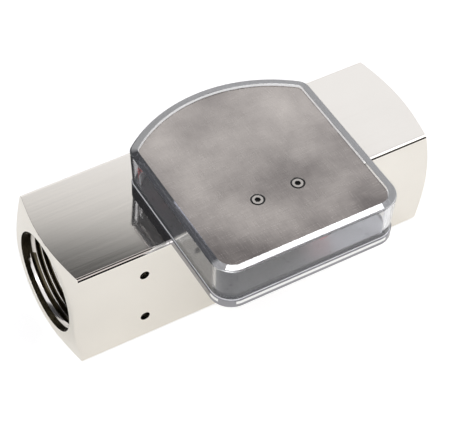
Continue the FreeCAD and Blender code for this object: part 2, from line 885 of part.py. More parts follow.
def base_screw(sketch):
    """Draws one base screw."""
    foot = floor_level - S["base_screw_length"]
    radius = S["base_screw_radius"] - S["thread_play"]
    sunk_profile(sketch, -S["base_screw_x"], radius, S["base_screw_head"], foot, floor_level, 0)


screw = upright_turned(screws, "Revolution", -S["base_screw_x"], "screw", base_screw, -screw_near)


def hexagon(sketch, at_x, at_y, radius):
    """Draws a hexagon with a flat on its far and near sides."""
    corners = []
    for step in range(6):
        turn = size(30 + 60 * step)
        corners.append((at_x + radius * cosine(turn), at_y + radius * sine(turn)))
    polygon(sketch, corners)


key = sketch_on(screws, "key_outline", "XY_Plane", floor_level)
hexagon(key, -S["base_screw_x"], screw_near, S["base_key_radius"])
socket = pocket(screws, key, S["base_key_depth"], "key_socket")
grid_of(screws, [screw, socket], 2 * S["base_screw_x"], S["base_screw_pitch"], "screw_set")


# Seal, clear ring and cover plate

seal = new_body("window_seal", y=pivot_y)
outline = sketch_on(seal, "seal_outline", "XY_Plane", flange_top)
fan(outline, S["seal_inset"])
fan(outline, S["ring_wall"])
pad(seal, outline, S["seal_thickness"], "seal_strip")

ring = new_body("window_ring", y=pivot_y)
outline = sketch_on(ring, "ring_outline", "XY_Plane", rim_level)
fan(outline, 0)
block = pad(ring, outline, rim_level - ring_foot, "ring_block", down=True)
bind(block, "TaperAngle", -S["ring_taper"])
doc.recompute()
rim_edges = []
for number, edge in enumerate(block.Shape.Edges, start=1):
    if edge.BoundBox.ZMin > block.Shape.BoundBox.ZMax - 0.01:
        rim_edges.append(f"Edge{number}")
bevel = ring.newObject("PartDesign::Chamfer", "rim_bevel")
bevel.Base = (block, rim_edges)
bevel.ChamferType = "Two distances"
bind(bevel, "Size", S["rim_bevel_drop"])
bind(bevel, "Size2", S["rim_bevel_width"])
ring.Tip = bevel
opening = sketch_on(ring, "room_outline", "XY_Plane", ring_foot)
fan(opening, S["ring_wall"])
pocket(ring, opening, plate_foot - ring_foot, "room", flip=True)
opening = sketch_on(ring, "rim_outline", "XY_Plane", plate_foot)
fan(opening, S["rim_width"])
pocket(ring, opening, S["plate_thickness"] + S["rim_step"], "rim_opening", flip=True)

plate = new_body("cover_plate", y=pivot_y)
outline = sketch_on(plate, "plate_outline", "XY_Plane", plate_foot)
fan(outline, S["rim_width"] + S["plate_gap"])
pad(plate, outline, S["plate_thickness"], "plate_sheet")


def cover_sink(sketch):
    """Draws the hole for one cover screw."""
    foot = plate_foot - S["cut_spare"]
    radius = S["cover_screw_radius"] + S["cover_screw_play"]
    sunk_profile(sketch, -S["cover_screw_x"], radius, S["cover_screw_head"], foot, plate_level, sink_play)


sink = upright_turned(plate, "Groove", -S["cover_screw_x"], "cover_sink", cover_sink)
mirrored(plate, [sink], "YZ_Plane", "cover_sinks")

cover_screws = new_body("cover_screws", y=pivot_y)


def cover_screw(sketch):
    """Draws one cover screw."""
    foot = plate_level - S["cover_screw_length"]
    radius = S["cover_screw_radius"] - S["thread_play"]
    sunk_profile(sketch, -S["cover_screw_x"], radius, S["cover_screw_head"], foot, plate_level, 0)


screw = upright_turned(cover_screws, "Revolution", -S["cover_screw_x"], "cover_screw", cover_screw)
key = sketch_on(cover_screws, "cover_key_outline", "XY_Plane", plate_level)
hexagon(key, -S["cover_screw_x"], zero, S["cover_key_radius"])
socket = pocket(cover_screws, key, S["cover_key_depth"], "cover_key_socket")
row_of(cover_screws, [screw, socket], "X_Axis", 2 * S["cover_screw_x"], 2, "cover_screw_pair")

posts = new_body("plate_posts", y=pivot_y)


def post_section(sketch):
    """Draws one post with its lower stud and the tapped hole in its top."""
    at_x = -S["cover_screw_x"]
    tapped = S["cover_screw_radius"]
    hole_foot = plate_level - S["cover_screw_length"] - S["post_hole_spare"]
    stud_foot = floor_level - S["post_stud_length"]
    polygon(sketch, [
        (at_x, stud_foot),
        (at_x + S["post_stud_radius"], stud_foot),
        (at_x + S["post_stud_radius"], floor_level),
        (at_x + S["post_radius"], floor_level),
        (at_x + S["post_radius"], bridge_foot),
        (at_x + tapped, bridge_foot),
        (at_x + tapped, hole_foot),
        (at_x, hole_foot),
    ])


post = upright_turned(posts, "Revolution", -S["cover_screw_x"], "post", post_section)
row_of(posts, [post], "X_Axis", 2 * S["cover_screw_x"], 2, "post_pair")

bridge = new_body("bearing_bridge", y=pivot_y)
outline = sketch_on(bridge, "bridge_outline", "XY_Plane", bridge_foot)
bridge_end = S["cover_screw_x"] + S["bridge_half_width"]
polygon(outline, [
    (-bridge_end, -S["bridge_half_width"]),
    (bridge_end, -S["bridge_half_width"]),
    (bridge_end, S["bridge_half_width"]),
    (-bridge_end, S["bridge_half_width"]),
])
circle(outline, -S["cover_screw_x"], 0, S["cover_screw_radius"] + S["bridge_hole_play"])
circle(outline, S["cover_screw_x"], 0, S["cover_screw_radius"] + S["bridge_hole_play"])
circle(outline, 0, 0, S["bush_radius"] + S["press_play"])
pad(bridge, outline, S["bridge_thickness"], "bridge_bar")


# Pointer bearings

shaft_fit = S["shaft_radius"] + S["bush_play"]
lower = new_body("lower_bush", y=pivot_y)
section = sketch_on(lower, "lower_bush_section", "XZ_Plane")
bush_foot = floor_level - S["bush_depth"]
polygon(section, [
    (zero, bush_foot),
    (S["bush_radius"], bush_foot),
    (S["bush_radius"], floor_level),
    (S["bush_flange_radius"], floor_level),
    (S["bush_flange_radius"], floor_level + S["bush_flange"]),
    (shaft_fit, floor_level + S["bush_flange"]),
    (shaft_fit, shaft_foot),
    (zero, shaft_foot),
])
turned(lower, "Revolution", section, "lower_bush_turned", "V_Axis")

upper = new_body("upper_bush", y=pivot_y)
section = sketch_on(upper, "upper_bush_section", "XZ_Plane")
polygon(section, [
    (shaft_fit, bridge_foot - S["bush_flange"]),
    (S["bush_flange_radius"], bridge_foot - S["bush_flange"]),
    (S["bush_flange_radius"], bridge_foot),
    (S["bush_radius"], bridge_foot),
    (S["bush_radius"], plate_foot - S["bush_top_gap"]),
    (shaft_fit, plate_foot - S["bush_top_gap"]),
])
turned(upper, "Revolution", section, "upper_bush_turned", "V_Axis")


# Scale: curved strip that stands in the groove of the floor

scale = new_body("scale_strip", y=pivot_y)
section = sketch_on(scale, "scale_section", "YZ_Plane")
upright_profile(section, scale_inner, scale_outer, scale_foot, scale_top)
turned(scale, "Revolution", section, "scale_turned", "V_Axis", 2 * scale_half_angle)


# Pointer set: it points along its own Y axis and rests turned to the inlet side

turn = S["swing_half"]
shaft = new_body("pointer_shaft", y=pivot_y, turn=turn)
section = sketch_on(shaft, "shaft_section", "XZ_Plane")
shaft_edge = S["shaft_chamfer"]
polygon(section, [
    (zero, shaft_foot),
    (S["shaft_radius"] - shaft_edge, shaft_foot),
    (S["shaft_radius"], shaft_foot + shaft_edge),
    (S["shaft_radius"], shaft_top - shaft_edge),
    (S["shaft_radius"] - shaft_edge, shaft_top),
    (zero, shaft_top),
])
turned(shaft, "Revolution", section, "shaft_turned", "V_Axis")

hub = new_body("pointer_hub", y=pivot_y, turn=turn)
section = sketch_on(hub, "hub_section", "XZ_Plane")
neck_top = arm_level + S["arm_thickness"] + S["hub_neck"]
hub_bore = S["shaft_radius"] + S["press_play"]
polygon(section, [
    (hub_bore, hub_foot),
    (S["hub_radius"], hub_foot),
    (S["hub_radius"], arm_level),
    (S["hub_neck_radius"], arm_level),
    (S["hub_neck_radius"], neck_top),
    (hub_bore, neck_top),
])
turned(hub, "Revolution", section, "hub_turned", "V_Axis")

pointer = new_body("pointer", y=pivot_y, turn=turn)
outline = sketch_on(pointer, "arm_outline", "XY_Plane", arm_level)
wide_half = S["arm_half_width"]
taper_start = S["pivot_reach"] + S["arm_taper_start"]
tip_radius = S["tip_radius"]
polygon(outline, [
    (-wide_half, S["tail_neck"] - S["tail_reach"]),
    (wide_half, S["tail_neck"] - S["tail_reach"]),
    (wide_half, taper_start),
    (S["tip_half_width"], tip_radius),
    (-S["tip_half_width"], tip_radius),
    (-wide_half, taper_start),
])
pad(pointer, outline, S["arm_thickness"], "arm")
outline = sketch_on(pointer, "disc_outlines", "XY_Plane", arm_level)
circle(outline, 0, -S["tail_reach"], S["tail_radius"])
circle(outline, 0, 0, S["hub_radius"] + S["hub_disc_margin"])
circle(outline, 0, S["pivot_reach"], S["follower_radius"] + S["follower_margin"])
pad(pointer, outline, S["arm_thickness"], "discs")
arm_top = arm_level + S["arm_thickness"]
tip_sketch = sketch_on(pointer, "tip_outline", "XY_Plane", arm_top)
tip_half = S["tip_half_width"]
polygon(tip_sketch, [
    (-tip_half, tip_radius - S["tip_thickness"]),
    (tip_half, tip_radius - S["tip_thickness"]),
    (tip_half, tip_radius),
    (-tip_half, tip_radius),
])
pad(pointer, tip_sketch, arm_top - tip_foot, "tip", down=True)
eye = sketch_on(pointer, "hub_eye_outline", "XY_Plane", arm_top)
circle(eye, 0, 0, S["hub_neck_radius"] + S["bush_play"])
pocket(pointer, eye, S["arm_thickness"], "hub_eye")

follower = new_body("pointer_magnet", y=pivot_y, turn=turn)
outline = sketch_on(follower, "follower_outline", "XY_Plane", arm_level)
circle(outline, 0, S["pivot_reach"], S["follower_radius"])
pad(follower, outline, arm_level - follower_foot, "follower_rod", down=True)

holder = new_body("magnet_clip", y=pivot_y, turn=turn)
outline = sketch_on(holder, "holder_outline", "XY_Plane", arm_level)
holder_bore = S["follower_radius"] + S["magnet_play"]
circle(outline, 0, S["pivot_reach"], holder_bore + S["clip_wall"])
circle(outline, 0, S["pivot_reach"], holder_bore)
pad(holder, outline, S["clip_height"], "holder_band", down=True)

weight = new_body("counterweight", y=pivot_y, turn=turn)
outline = sketch_on(weight, "weight_outline", "XY_Plane", arm_level)
circle(outline, 0, -S["tail_reach"], S["weight_radius"])
pad(weight, outline, S["weight_height"], "weight_disc", down=True)


# Checks of the finished document, and one STEP file for each named piece

doc.recompute()
bodies = [item for item in doc.Objects if item.TypeId == "PartDesign::Body"]
for item in doc.Objects:
    if "Invalid" in item.State or "Error" in item.State:
        raise RuntimeError(f"{item.Label} did not compute: {item.State}")
for item in bodies:
    if item.Shape.isNull() or not item.Shape.isValid():
        raise RuntimeError(f"{item.Label} has no valid shape")
os.makedirs("parts", exist_ok=True)
for item in bodies:
    item.Shape.exportStep(f"parts/{item.Label}.step")
    box = item.Shape.BoundBox
    count = len(item.Shape.Solids)
    ends = f"x {box.XMin:.2f} {box.XMax:.2f} y {box.YMin:.2f} {box.YMax:.2f} z {box.ZMin:.2f} {box.ZMax:.2f}"
    print(f"{item.Label}: {count} solid, volume {item.Shape.Volume:.1f}, {ends}")
print(f"travel {travel.number:.3f}, float nose {float_nose.number:.3f}, pieces {len(bodies)}")
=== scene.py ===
"""Looks of an inline variable area flow meter with a clear indicator case.

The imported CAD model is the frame, in metres: X runs along the flow, Y points to the reading window and Z is
up from the body's bottom face. Sizes of pieces are given in millimetres and those of the studio in metres.
"""

from __future__ import annotations

import json
import logging
import math
from dataclasses import dataclass, field
from enum import Enum

import bmesh
import bpy
from mathutils import Matrix, Vector

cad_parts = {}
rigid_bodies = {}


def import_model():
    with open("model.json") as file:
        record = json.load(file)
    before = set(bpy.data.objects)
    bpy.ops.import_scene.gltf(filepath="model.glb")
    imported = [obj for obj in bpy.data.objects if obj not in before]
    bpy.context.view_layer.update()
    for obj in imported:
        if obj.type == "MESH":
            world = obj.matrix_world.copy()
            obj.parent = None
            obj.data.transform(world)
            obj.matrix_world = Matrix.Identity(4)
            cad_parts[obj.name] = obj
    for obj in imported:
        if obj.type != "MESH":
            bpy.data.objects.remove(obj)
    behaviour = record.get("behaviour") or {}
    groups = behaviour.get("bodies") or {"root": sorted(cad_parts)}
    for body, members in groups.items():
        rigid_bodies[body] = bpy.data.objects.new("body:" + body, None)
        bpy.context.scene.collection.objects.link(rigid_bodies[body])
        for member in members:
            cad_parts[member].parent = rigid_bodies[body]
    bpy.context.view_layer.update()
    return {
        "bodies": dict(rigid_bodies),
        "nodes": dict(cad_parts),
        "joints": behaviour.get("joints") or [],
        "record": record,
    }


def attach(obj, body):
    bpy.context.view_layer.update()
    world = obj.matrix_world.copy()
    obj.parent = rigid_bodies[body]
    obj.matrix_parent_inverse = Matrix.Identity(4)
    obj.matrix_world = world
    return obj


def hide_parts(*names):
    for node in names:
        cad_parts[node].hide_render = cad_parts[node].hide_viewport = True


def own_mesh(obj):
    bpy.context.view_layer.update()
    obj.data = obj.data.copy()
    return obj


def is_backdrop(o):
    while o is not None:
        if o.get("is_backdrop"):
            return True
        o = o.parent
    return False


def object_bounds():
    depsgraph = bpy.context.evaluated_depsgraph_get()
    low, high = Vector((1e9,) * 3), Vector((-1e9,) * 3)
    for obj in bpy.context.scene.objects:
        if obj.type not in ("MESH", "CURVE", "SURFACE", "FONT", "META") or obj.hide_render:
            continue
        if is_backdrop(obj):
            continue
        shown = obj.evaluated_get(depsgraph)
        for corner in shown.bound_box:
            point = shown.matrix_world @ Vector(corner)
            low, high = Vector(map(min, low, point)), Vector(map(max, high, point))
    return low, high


LOG = logging.getLogger("flow_meter")

Node = bpy.types.Node
Socket = bpy.types.NodeSocket
Object = bpy.types.Object
Material = bpy.types.Material
Face = bpy.types.MeshPolygon
Solid = bmesh.types.BMesh
Point = tuple[float, float]
Span = tuple[float, float]
Tone = tuple[float, float, float]
Triple = tuple[float, float, float]
Colour = tuple[float, float, float, float]
Stops = tuple[tuple[float, Tone], ...]
Loop = list[Vector]
Skin = tuple[Loop, list[tuple[int, ...]]]

MM = 0.001
FLOW_LEVEL = 25.0  # height of the bore's axis
PIVOT_Y = -37.0  # Y of the pointer's shaft
WELD = 0.001  # points closer than this become one
FLAT_TURN = 0.5  # faces that turn by fewer degrees become one
SHARP_TURN = 30.0  # edges that turn by more degrees stay sharp
END_FACE = 0.9999  # a face looks along the flow from this much of its normal
NOISE_SPAN = (0.25, 0.75)
TINT_SPAN = (0.3, 0.7)
FINE_RELIEF = 0.00002  # in metres
WHITE = (1.0, 1.0, 1.0)


class Grain(Enum):
    """The way that a metal surface was finished, as how finely its marks repeat along X, Y and Z."""

    LONG = (12.0, 900.0, 900.0)
    ORBITAL = (500.0, 500.0, 500.0)
    TURNED = (1500.0, 60.0, 60.0)


# Shader building


class Graph:
    """Shading nodes that are put together one by one."""

    def __init__(self, tree: bpy.types.NodeTree) -> None:
        """Takes over a node tree and empties it."""
        self.tree = tree
        self.tree.nodes.clear()

    def add(self, kind: str, inputs: dict[str | int, object] | None = None, **values: object) -> Node:
        """Adds a node.

        Args:
            kind: the node type without the ShaderNode prefix.
            inputs: its inputs by name or number, each with a value or with the output that feeds it.
            **values: its own properties.

        Returns:
            The new node.
        """
        node = self.tree.nodes.new(f"ShaderNode{kind}")
        for key, value in values.items():
            setattr(node, key, value)
        for key, value in (inputs or {}).items():
            if isinstance(value, Socket):
                self.tree.links.new(value, node.inputs[key])
            else:
                node.inputs[key].default_value = value
        return node

    def work_out(self, operation: str, *values: Socket | float) -> Socket:
        """Works a value out of one or two others."""
        return self.add("Math", dict(enumerate(values)), operation=operation).outputs[0]

    def ranged(self, value: Socket, limits: Span, low: float = 0.0, high: float = 1.0) -> Socket:
        """Maps a value between two limits to the range from low to high, and keeps it in that."""
        ends = {"From Min": limits[0], "From Max": limits[1], "To Min": low, "To Max": high}
        return self.add("MapRange", {"Value": value, **ends}).outputs["Result"]

    def mixed(self, first: Socket, second: Socket, share: Socket | float) -> Socket:
        """Mixes two values by the share of the second, from 0 to 1."""
        return self.add("Mix", {"Factor": share, "A": first, "B": second}, data_type="FLOAT").outputs["Result"]

    def layered(self, share: Socket | float, under: Node, over: Node) -> Node:
        """Mixes two shaders by the share of the second, from 0 to 1."""
        return self.add("MixShader", {0: share, 1: under.outputs[0], 2: over.outputs[0]})

    def ramp(self, value: Socket, bands: Stops, whole: float = 1.0) -> Socket:
        """Turns a value into a colour.

        Args:
            value: the value, from 0 to 1.
            bands: levels with their colours.
            whole: the level that is 1 in the value.

        Returns:
            The colour.
        """
        node = self.add("ValToRGB", {"Fac": value})
        stops = node.color_ramp.elements
        while len(stops) < len(bands):
            stops.new(1.0)
        for stop, (level, tone) in zip(stops, bands):
            stop.position = level / whole
            stop.color = (*tone, 1.0)
        return node.outputs["Color"]

    def change(self, value: Socket, limits: Span, first: Socket | Colour, second: Socket | Colour) -> Socket:
        """Goes from one colour to another while a value passes from the lower limit to the upper one."""
        inputs = {"Factor": self.ranged(value, limits), 6: first, 7: second}
        return self.add("Mix", inputs, data_type="RGBA").outputs[2]


class Shader(Graph):
    """The nodes of a material."""

    def __init__(self, name: str) -> None:
        """Starts an empty material.

        Args:
            name: the material's name.
        """
        self.material = bpy.data.materials.new(name)
        self.material.use_nodes = True
        super().__init__(self.material.node_tree)

    def finished(self, node: Node) -> Material:
        """Sends a shader to the surface and gives the material."""
        self.add("OutputMaterial", {"Surface": node.outputs[0]})
        return self.material

    def coated(self, metal: float, tone: Socket, rough: Socket, normal: Socket) -> Material:
        """Gives the material one Principled surface with this metal share, colour, roughness and normal."""
        inputs = {"Metallic": metal, "Base Color": tone, "Roughness": rough, "Normal": normal}
        return self.finished(self.add("BsdfPrincipled", inputs))

    def noise(self, scale: float, detail: float, stretch: Triple = (1.0, 1.0, 1.0)) -> Socket:
        """Adds a noise texture over the object's own coordinates.

        Args:
            scale: the noise scale.
            detail: how many finer layers it has.
            stretch: factor along X, Y and Z, per metre.

        Returns:
            The noise value, from 0 to 1.
        """
        source = self.add("TexCoord").outputs["Object"]
        where = self.add("Mapping", {"Vector": source, "Scale": stretch}).outputs["Vector"]
        return self.add("TexNoise", {"Vector": where, "Scale": scale, "Detail": detail}).outputs[0]

    def spread(self, value: Socket, low: float, high: float) -> Socket:
        """Maps the middle half of a noise value, where most of it lies, to another range."""
        return self.ranged(value, NOISE_SPAN, low, high)

    def tint(self, value: Socket, first: Tone, second: Tone) -> Socket:
        """Mixes two colours by a noise value, from all of the first to all of the second."""
        return self.ramp(value, tuple(zip(TINT_SPAN, (first, second))))

    def relief(self, height: Socket, strength: float, distance: float) -> Socket:
        """Turns a height into a bent normal, where the distance is the height of 1, in metres."""
        inputs = {"Strength": strength, "Distance": distance, "Height": height}
        return self.add("Bump", inputs).outputs["Normal"]


# Finishes


@dataclass(frozen=True)
class BrushedMetal:
    """Metal with fine grain lines, faint stains and a soft gloss."""

    name: str
    light: Tone
    dark: Tone
    grain: Grain = Grain.LONG
    low_rough: float = 0.08
    high_rough: float = 0.2
    grain_depth: float = 0.1
    stain_scale: float = 30.0

    def build(self) -> Material:
        """Builds the metal.

        Returns:
            The material.
        """
        shader = Shader(self.name)
        stains = shader.noise(self.stain_scale, detail=4.0)
        lines = shader.noise(1.0, detail=5.0, stretch=self.grain.value)
        tone = shader.tint(stains, self.dark, self.light)
        rough = shader.spread(lines, self.low_rough, self.high_rough)
        return shader.coated(1.0, tone, rough, shader.relief(lines, self.grain_depth, FINE_RELIEF))


@dataclass(frozen=True)
class GroundPlate:
    """Sheet metal with short crossed sanding marks over broad stains, and painted shade that darkens it towards its
    front left corner.
    """

    name: str = "orbital_ground_sheet"
    light: Tone = (0.72, 0.67, 0.63)
    dark: Tone = (0.26, 0.238, 0.23)
    stain_scale: float = 27.0
    stain_range: Span = (0.05, 0.95)
    mark_along: Triple = (2600.0, 160.0, 400.0)
    mark_across: Triple = (160.0, 2600.0, 400.0)
    mark_depth: float = 0.4
    mark_share: float = 0.26
    mark_rough: Span = (0.20, 0.30)
    patch_scale: float = 110.0
    tarnish_way: Triple = (0.35, 1.0, 0.0)
    tarnish_range: Span = (-0.07, 0.02)
    tarnish_share: float = 0.24

    def build(self) -> Material:
        """Builds the sheet.

        Returns:
            The material.
        """
        shader = Shader(self.name)
        stains = shader.noise(self.stain_scale, detail=5.0)
        first = shader.noise(1.0, detail=3.0, stretch=self.mark_along)
        second = shader.noise(1.0, detail=3.0, stretch=self.mark_across)
        marks = shader.mixed(first, second, shader.noise(self.patch_scale, detail=2.0))
        level = shader.mixed(shader.spread(stains, *self.stain_range), marks, self.mark_share)
        # painted shade: mixes in a ramp that darkens the sheet towards its front left corner
        level = shader.mixed(level, self.tarnish(shader), self.tarnish_share)
        tone = shader.tint(level, self.dark, self.light)
        rough = shader.spread(marks, *self.mark_rough)
        return shader.coated(1.0, tone, rough, shader.relief(marks, self.mark_depth, FINE_RELIEF))

    def tarnish(self, shader: Shader) -> Socket:
        """Gives a painted shade value that falls from 1, lit, to 0, shaded, towards the sheet's front left corner.
        """
        inputs = {0: shader.add("TexCoord").outputs["Object"], 1: self.tarnish_way}
        slope = shader.add("VectorMath", inputs, operation="DOT_PRODUCT").outputs["Value"]
        return shader.ranged(slope, self.tarnish_range)


@dataclass(frozen=True)
class ClearMoulding:
    """Clear moulded plastic that lets the lamps' light through, with or without a polished skin over it."""

    name: str = "clear_moulding"
    roughness: float = 0.02
    clearness: float = 0.97
    gloss: float = 0.0
    bend: float = 1.49
    tone: Colour = (0.95, 0.96, 0.99, 1.0)
    shadow: Colour = (0.55, 0.56, 0.58, 1.0)
    ripple_scale: float = 60.0
    ripple_strength: float = 0.001
    ripple_height: float = 0.0002

    def build(self) -> Material:
        """Builds the plastic.

        Returns:
            The material.
        """
        shader = Shader(self.name)
        ripples = shader.noise(self.ripple_scale, detail=1.0)
        normal = shader.relief(ripples, self.ripple_strength, self.ripple_height)
        inputs = {"Base Color": self.tone, "IOR": self.bend, "Transmission Weight": self.clearness, "Normal": normal}
        plastic = shader.add("BsdfPrincipled", {"Roughness": self.roughness, **inputs})
        coat = shader.layered(self.gloss, plastic, shader.add("BsdfGlossy", {"Roughness": self.roughness}))
        open_way = shader.add("BsdfTransparent", {"Color": self.shadow})
        rays = shader.add("LightPath")
        return shader.finished(shader.layered(rays.outputs["Is Shadow Ray"], coat, open_way))


@dataclass(frozen=True)
class Moulded:
    """Plastic, rubber or paint with a fine uneven surface."""

    name: str
    light: Tone
    dark: Tone
    low_rough: float = 0.3
    high_rough: float = 0.45
    metal: float = 0.0
    cloud_scale: float = 60.0
    grain_scale: float = 900.0
    grain_depth: float = 0.1
    grain_height: float = 0.00003

    def build(self) -> Material:
        """Builds the finish.

        Returns:
            The material.
        """
        shader = Shader(self.name)
        cloud = shader.noise(self.cloud_scale, detail=3.0)
        grain = shader.noise(self.grain_scale, detail=2.0)
        tone = shader.tint(cloud, self.dark, self.light)
        rough = shader.spread(grain, self.low_rough, self.high_rough)
        return shader.coated(self.metal, tone, rough, shader.relief(grain, self.grain_depth, self.grain_height))


@dataclass(frozen=True)
class StudioPaper:
    """White paper that glows for the camera, which sees it plain white, and a little in mirrors and plastic."""

    name: str = "studio_paper"
    shade: float = 0.82
    roughness: float = 0.9
    seen_lift: float = 0.45
    mirrored_lift: float = 0.13
    mirrored_tone: Tone = (1.0, 0.93, 0.70)

    def build(self) -> Material:
        """Builds the paper.

        Returns:
            The material.
        """
        shader = Shader(self.name)
        shade = (self.shade, self.shade, self.shade, 1.0)
        paper = shader.add("BsdfPrincipled", {"Base Color": shade, "Roughness": self.roughness})
        rays = shader.add("LightPath").outputs
        mirrored = shader.work_out("MAXIMUM", rays["Is Glossy Ray"], rays["Is Transmission Ray"])
        glows = (
            (WHITE, self.seen_lift, rays["Is Camera Ray"]),
            (self.mirrored_tone, self.mirrored_lift, mirrored),
        )
        for tone, power, seen in glows:
            strength = shader.work_out("MULTIPLY", seen, power)
            glow = shader.add("Emission", {"Color": (*tone, 1.0), "Strength": strength})
            paper = shader.add("AddShader", {0: paper.outputs[0], 1: glow.outputs[0]})
        return shader.finished(paper)


FINISHES = {
    "nickel": BrushedMetal("polished_nickel", (0.93, 0.90, 0.85), (0.90, 0.87, 0.82), Grain.LONG, 0.05, 0.10, 0.03),
    # painted shade: near black for the bore walls and thread flanks; the crests below keep bright metal
    "port": BrushedMetal("port_painted_shade", (0.13, 0.112, 0.075), (0.055, 0.046, 0.03), Grain.TURNED, 0.15, 0.28, 0.2),
    "crest": BrushedMetal("crest_metal", (0.90, 0.87, 0.84), (0.80, 0.77, 0.74), Grain.TURNED, 0.12, 0.25, 0.1),
    "floor": Moulded("anodised_sheet", (0.36, 0.35, 0.35), (0.31, 0.30, 0.30), 0.26, 0.34, 0.5),
    "side": BrushedMetal("flange_side", (0.36, 0.36, 0.385), (0.30, 0.30, 0.325), Grain.LONG, 0.06, 0.12, 0.02),
    # painted shade: dark finish for the cover plate's underside, where light hardly reaches inside the case
    "underside_shade": Moulded("painted_underside_shade", (0.13, 0.13, 0.14), (0.09, 0.09, 0.10), 0.4, 0.55, 0.6),
    # painted highlight: a far brighter copy of the flange metal for the lip's line; as polished metal it also really
    # mirrors the floor
    "lip_highlight": BrushedMetal("lip_painted_highlight", (0.97, 0.97, 0.98), (0.92, 0.92, 0.93), Grain.LONG, 0.10, 0.20, 0.04),
    # painted shade: near black for the screws' sockets and the grooves round their heads
    "screw_shade": Moulded("screw_painted_shade", (0.03, 0.03, 0.03), (0.012, 0.012, 0.012), 0.35, 0.5, 0.3),
    "steel": BrushedMetal("turned_steel", (0.66, 0.65, 0.63), (0.52, 0.51, 0.50), Grain.TURNED, 0.15, 0.3, 0.25),
    "screw": BrushedMetal("screw_steel", (0.72, 0.69, 0.65), (0.55, 0.52, 0.49), Grain.ORBITAL, 0.15, 0.3, 0.2),
    "wire": BrushedMetal("spring_wire", (0.55, 0.55, 0.56), (0.42, 0.42, 0.43), Grain.ORBITAL, 0.2, 0.35, 0.2),
    "brass": BrushedMetal("turned_brass", (0.80, 0.62, 0.32), (0.66, 0.48, 0.24), Grain.TURNED, 0.15, 0.32, 0.25),
    "plate": GroundPlate(),
    "clear": ClearMoulding(roughness=0.10),
    "rim": ClearMoulding("polished_rim", gloss=0.34),
    "magnet": Moulded("ground_magnet", (0.10, 0.10, 0.11), (0.05, 0.05, 0.06), 0.35, 0.5, 0.6),
    "milky": Moulded("milky_seal", (0.80, 0.80, 0.82), (0.74, 0.74, 0.76), 0.4, 0.5),
    "rubber": Moulded("seal_rubber", (0.04, 0.04, 0.04), (0.02, 0.02, 0.02), 0.5, 0.7),
    "white": Moulded("scale_card", (0.86, 0.86, 0.84), (0.80, 0.80, 0.78), 0.4, 0.55),
    "ink": Moulded("scale_ink", (0.02, 0.02, 0.02), (0.01, 0.01, 0.01), 0.5, 0.6),
    "red": Moulded("pointer_paint", (0.75, 0.05, 0.04), (0.62, 0.03, 0.03), 0.25, 0.4),
}


# Mesh building


def linked(name: str, data: bpy.types.ID) -> Object:
    """Puts a new object in the scene.

    Args:
        name: its name.
        data: its mesh, text, lamp or camera.

    Returns:
        The object.
    """
    thing = bpy.data.objects.new(name, data)
    bpy.context.scene.collection.objects.link(thing)
    return thing


def as_seen(thing: Object) -> bpy.types.Mesh:
    """Takes an object out of the scene.

    Args:
        thing: the object.

    Returns:
        The mesh that it showed.
    """
    mesh = bpy.data.meshes.new_from_object(thing.evaluated_get(bpy.context.evaluated_depsgraph_get()))
    bpy.data.objects.remove(thing)
    return mesh


def turned(right: Vector, up: Vector, back: Vector, place: Vector) -> Matrix:
    """Gives the matrix that stands a thing at a place with its X, Y and Z along three directions."""
    rows = [[column[row] for column in (right, up, back, place)] for row in range(3)]
    return Matrix(rows + [[0.0, 0.0, 0.0, 1.0]])


def smooth(mesh: bpy.types.Mesh, sharp: float) -> None:
    """Shades a mesh smooth except over its sharp edges."""
    mesh.shade_smooth()
    mesh.set_sharp_from_angle(angle=math.radians(sharp))


def dress(piece: Object, finish: Material) -> None:
    """Gives a piece one material."""
    piece.data.materials.clear()
    piece.data.materials.append(finish)


def add_piece(name: str, skin: Skin, sharp: float = 35.0) -> Object:
    """Makes an object from points and faces.

    Args:
        name: the piece's name.
        skin: the points, in metres, and the faces as point numbers.
        sharp: edges that turn by more than this many degrees stay sharp.

    Returns:
        The new object.
    """
    verts, faces = skin
    mesh = bpy.data.meshes.new(name)
    mesh.from_pydata([tuple(vert) for vert in verts], [], faces)
    mesh.validate()
    smooth(mesh, sharp)
    return linked(name, mesh)


def bridge(loops: list[Loop], round_trip: bool) -> Skin:
    """Joins closed loops of equal length into a skin.

    Args:
        loops: the loops in order.
        round_trip: whether the last loop is joined to the first.

    Returns:
        The points and the faces.
    """
    count = len(loops[0])
    verts = [point for loop in loops for point in loop]
    faces = []
    for row in range(len(loops) if round_trip else len(loops) - 1):
        near, far = row * count, (row + 1) % len(loops) * count
        for index in range(count):
            other = (index + 1) % count
            faces.append((near + index, near + other, far + other, far + index))
    return verts, faces


def joined(parts: list[Skin]) -> Skin:
    """Puts separate skins together.

    Args:
        parts: the skins.

    Returns:
        The points and the faces of all of them, in order.
    """
    verts, faces = [], []
    for points, sides in parts:
        base = len(verts)
        verts += points
        faces += [tuple(base + index for index in side) for side in sides]
    return verts, faces


def held(profile: list[Point], margin: float, least: float) -> list[Point]:
    """Adds a point near each end of the long sides of a closed outline, so that they shade flat.

    Args:
        profile: the outline.
        margin: how far from the ends the points go.
        least: sides shorter than this stay as they are.

    Returns:
        The outline with the new points.
    """
    points = []
    for index, (a, b) in enumerate(profile):
        next_a, next_b = profile[(index + 1) % len(profile)]
        points.append((a, b))
        length = math.hypot(next_a - a, next_b - b)
        if length > least:
            for share in (margin / length, 1 - margin / length):
                points.append((a + (next_a - a) * share, b + (next_b - b) * share))
    return points


def about_flow(along: float, radius: float, turn: float) -> Vector:
    """Gives a point at a radius from the flow axis, in metres."""
    return Vector((along, radius * math.cos(turn), FLOW_LEVEL + radius * math.sin(turn))) * MM


def merged(node: Object) -> Solid:
    """Copies a CAD node's shape, with the facets of each flat face made one.

    Args:
        node: the CAD node.

    Returns:
        The shape.
    """
    skin = bmesh.new()
    skin.from_mesh(node.data)
    bmesh.ops.remove_doubles(skin, verts=skin.verts, dist=WELD * MM)
    bmesh.ops.dissolve_limit(skin, angle_limit=math.radians(FLAT_TURN), verts=skin.verts, edges=skin.edges)
    return skin


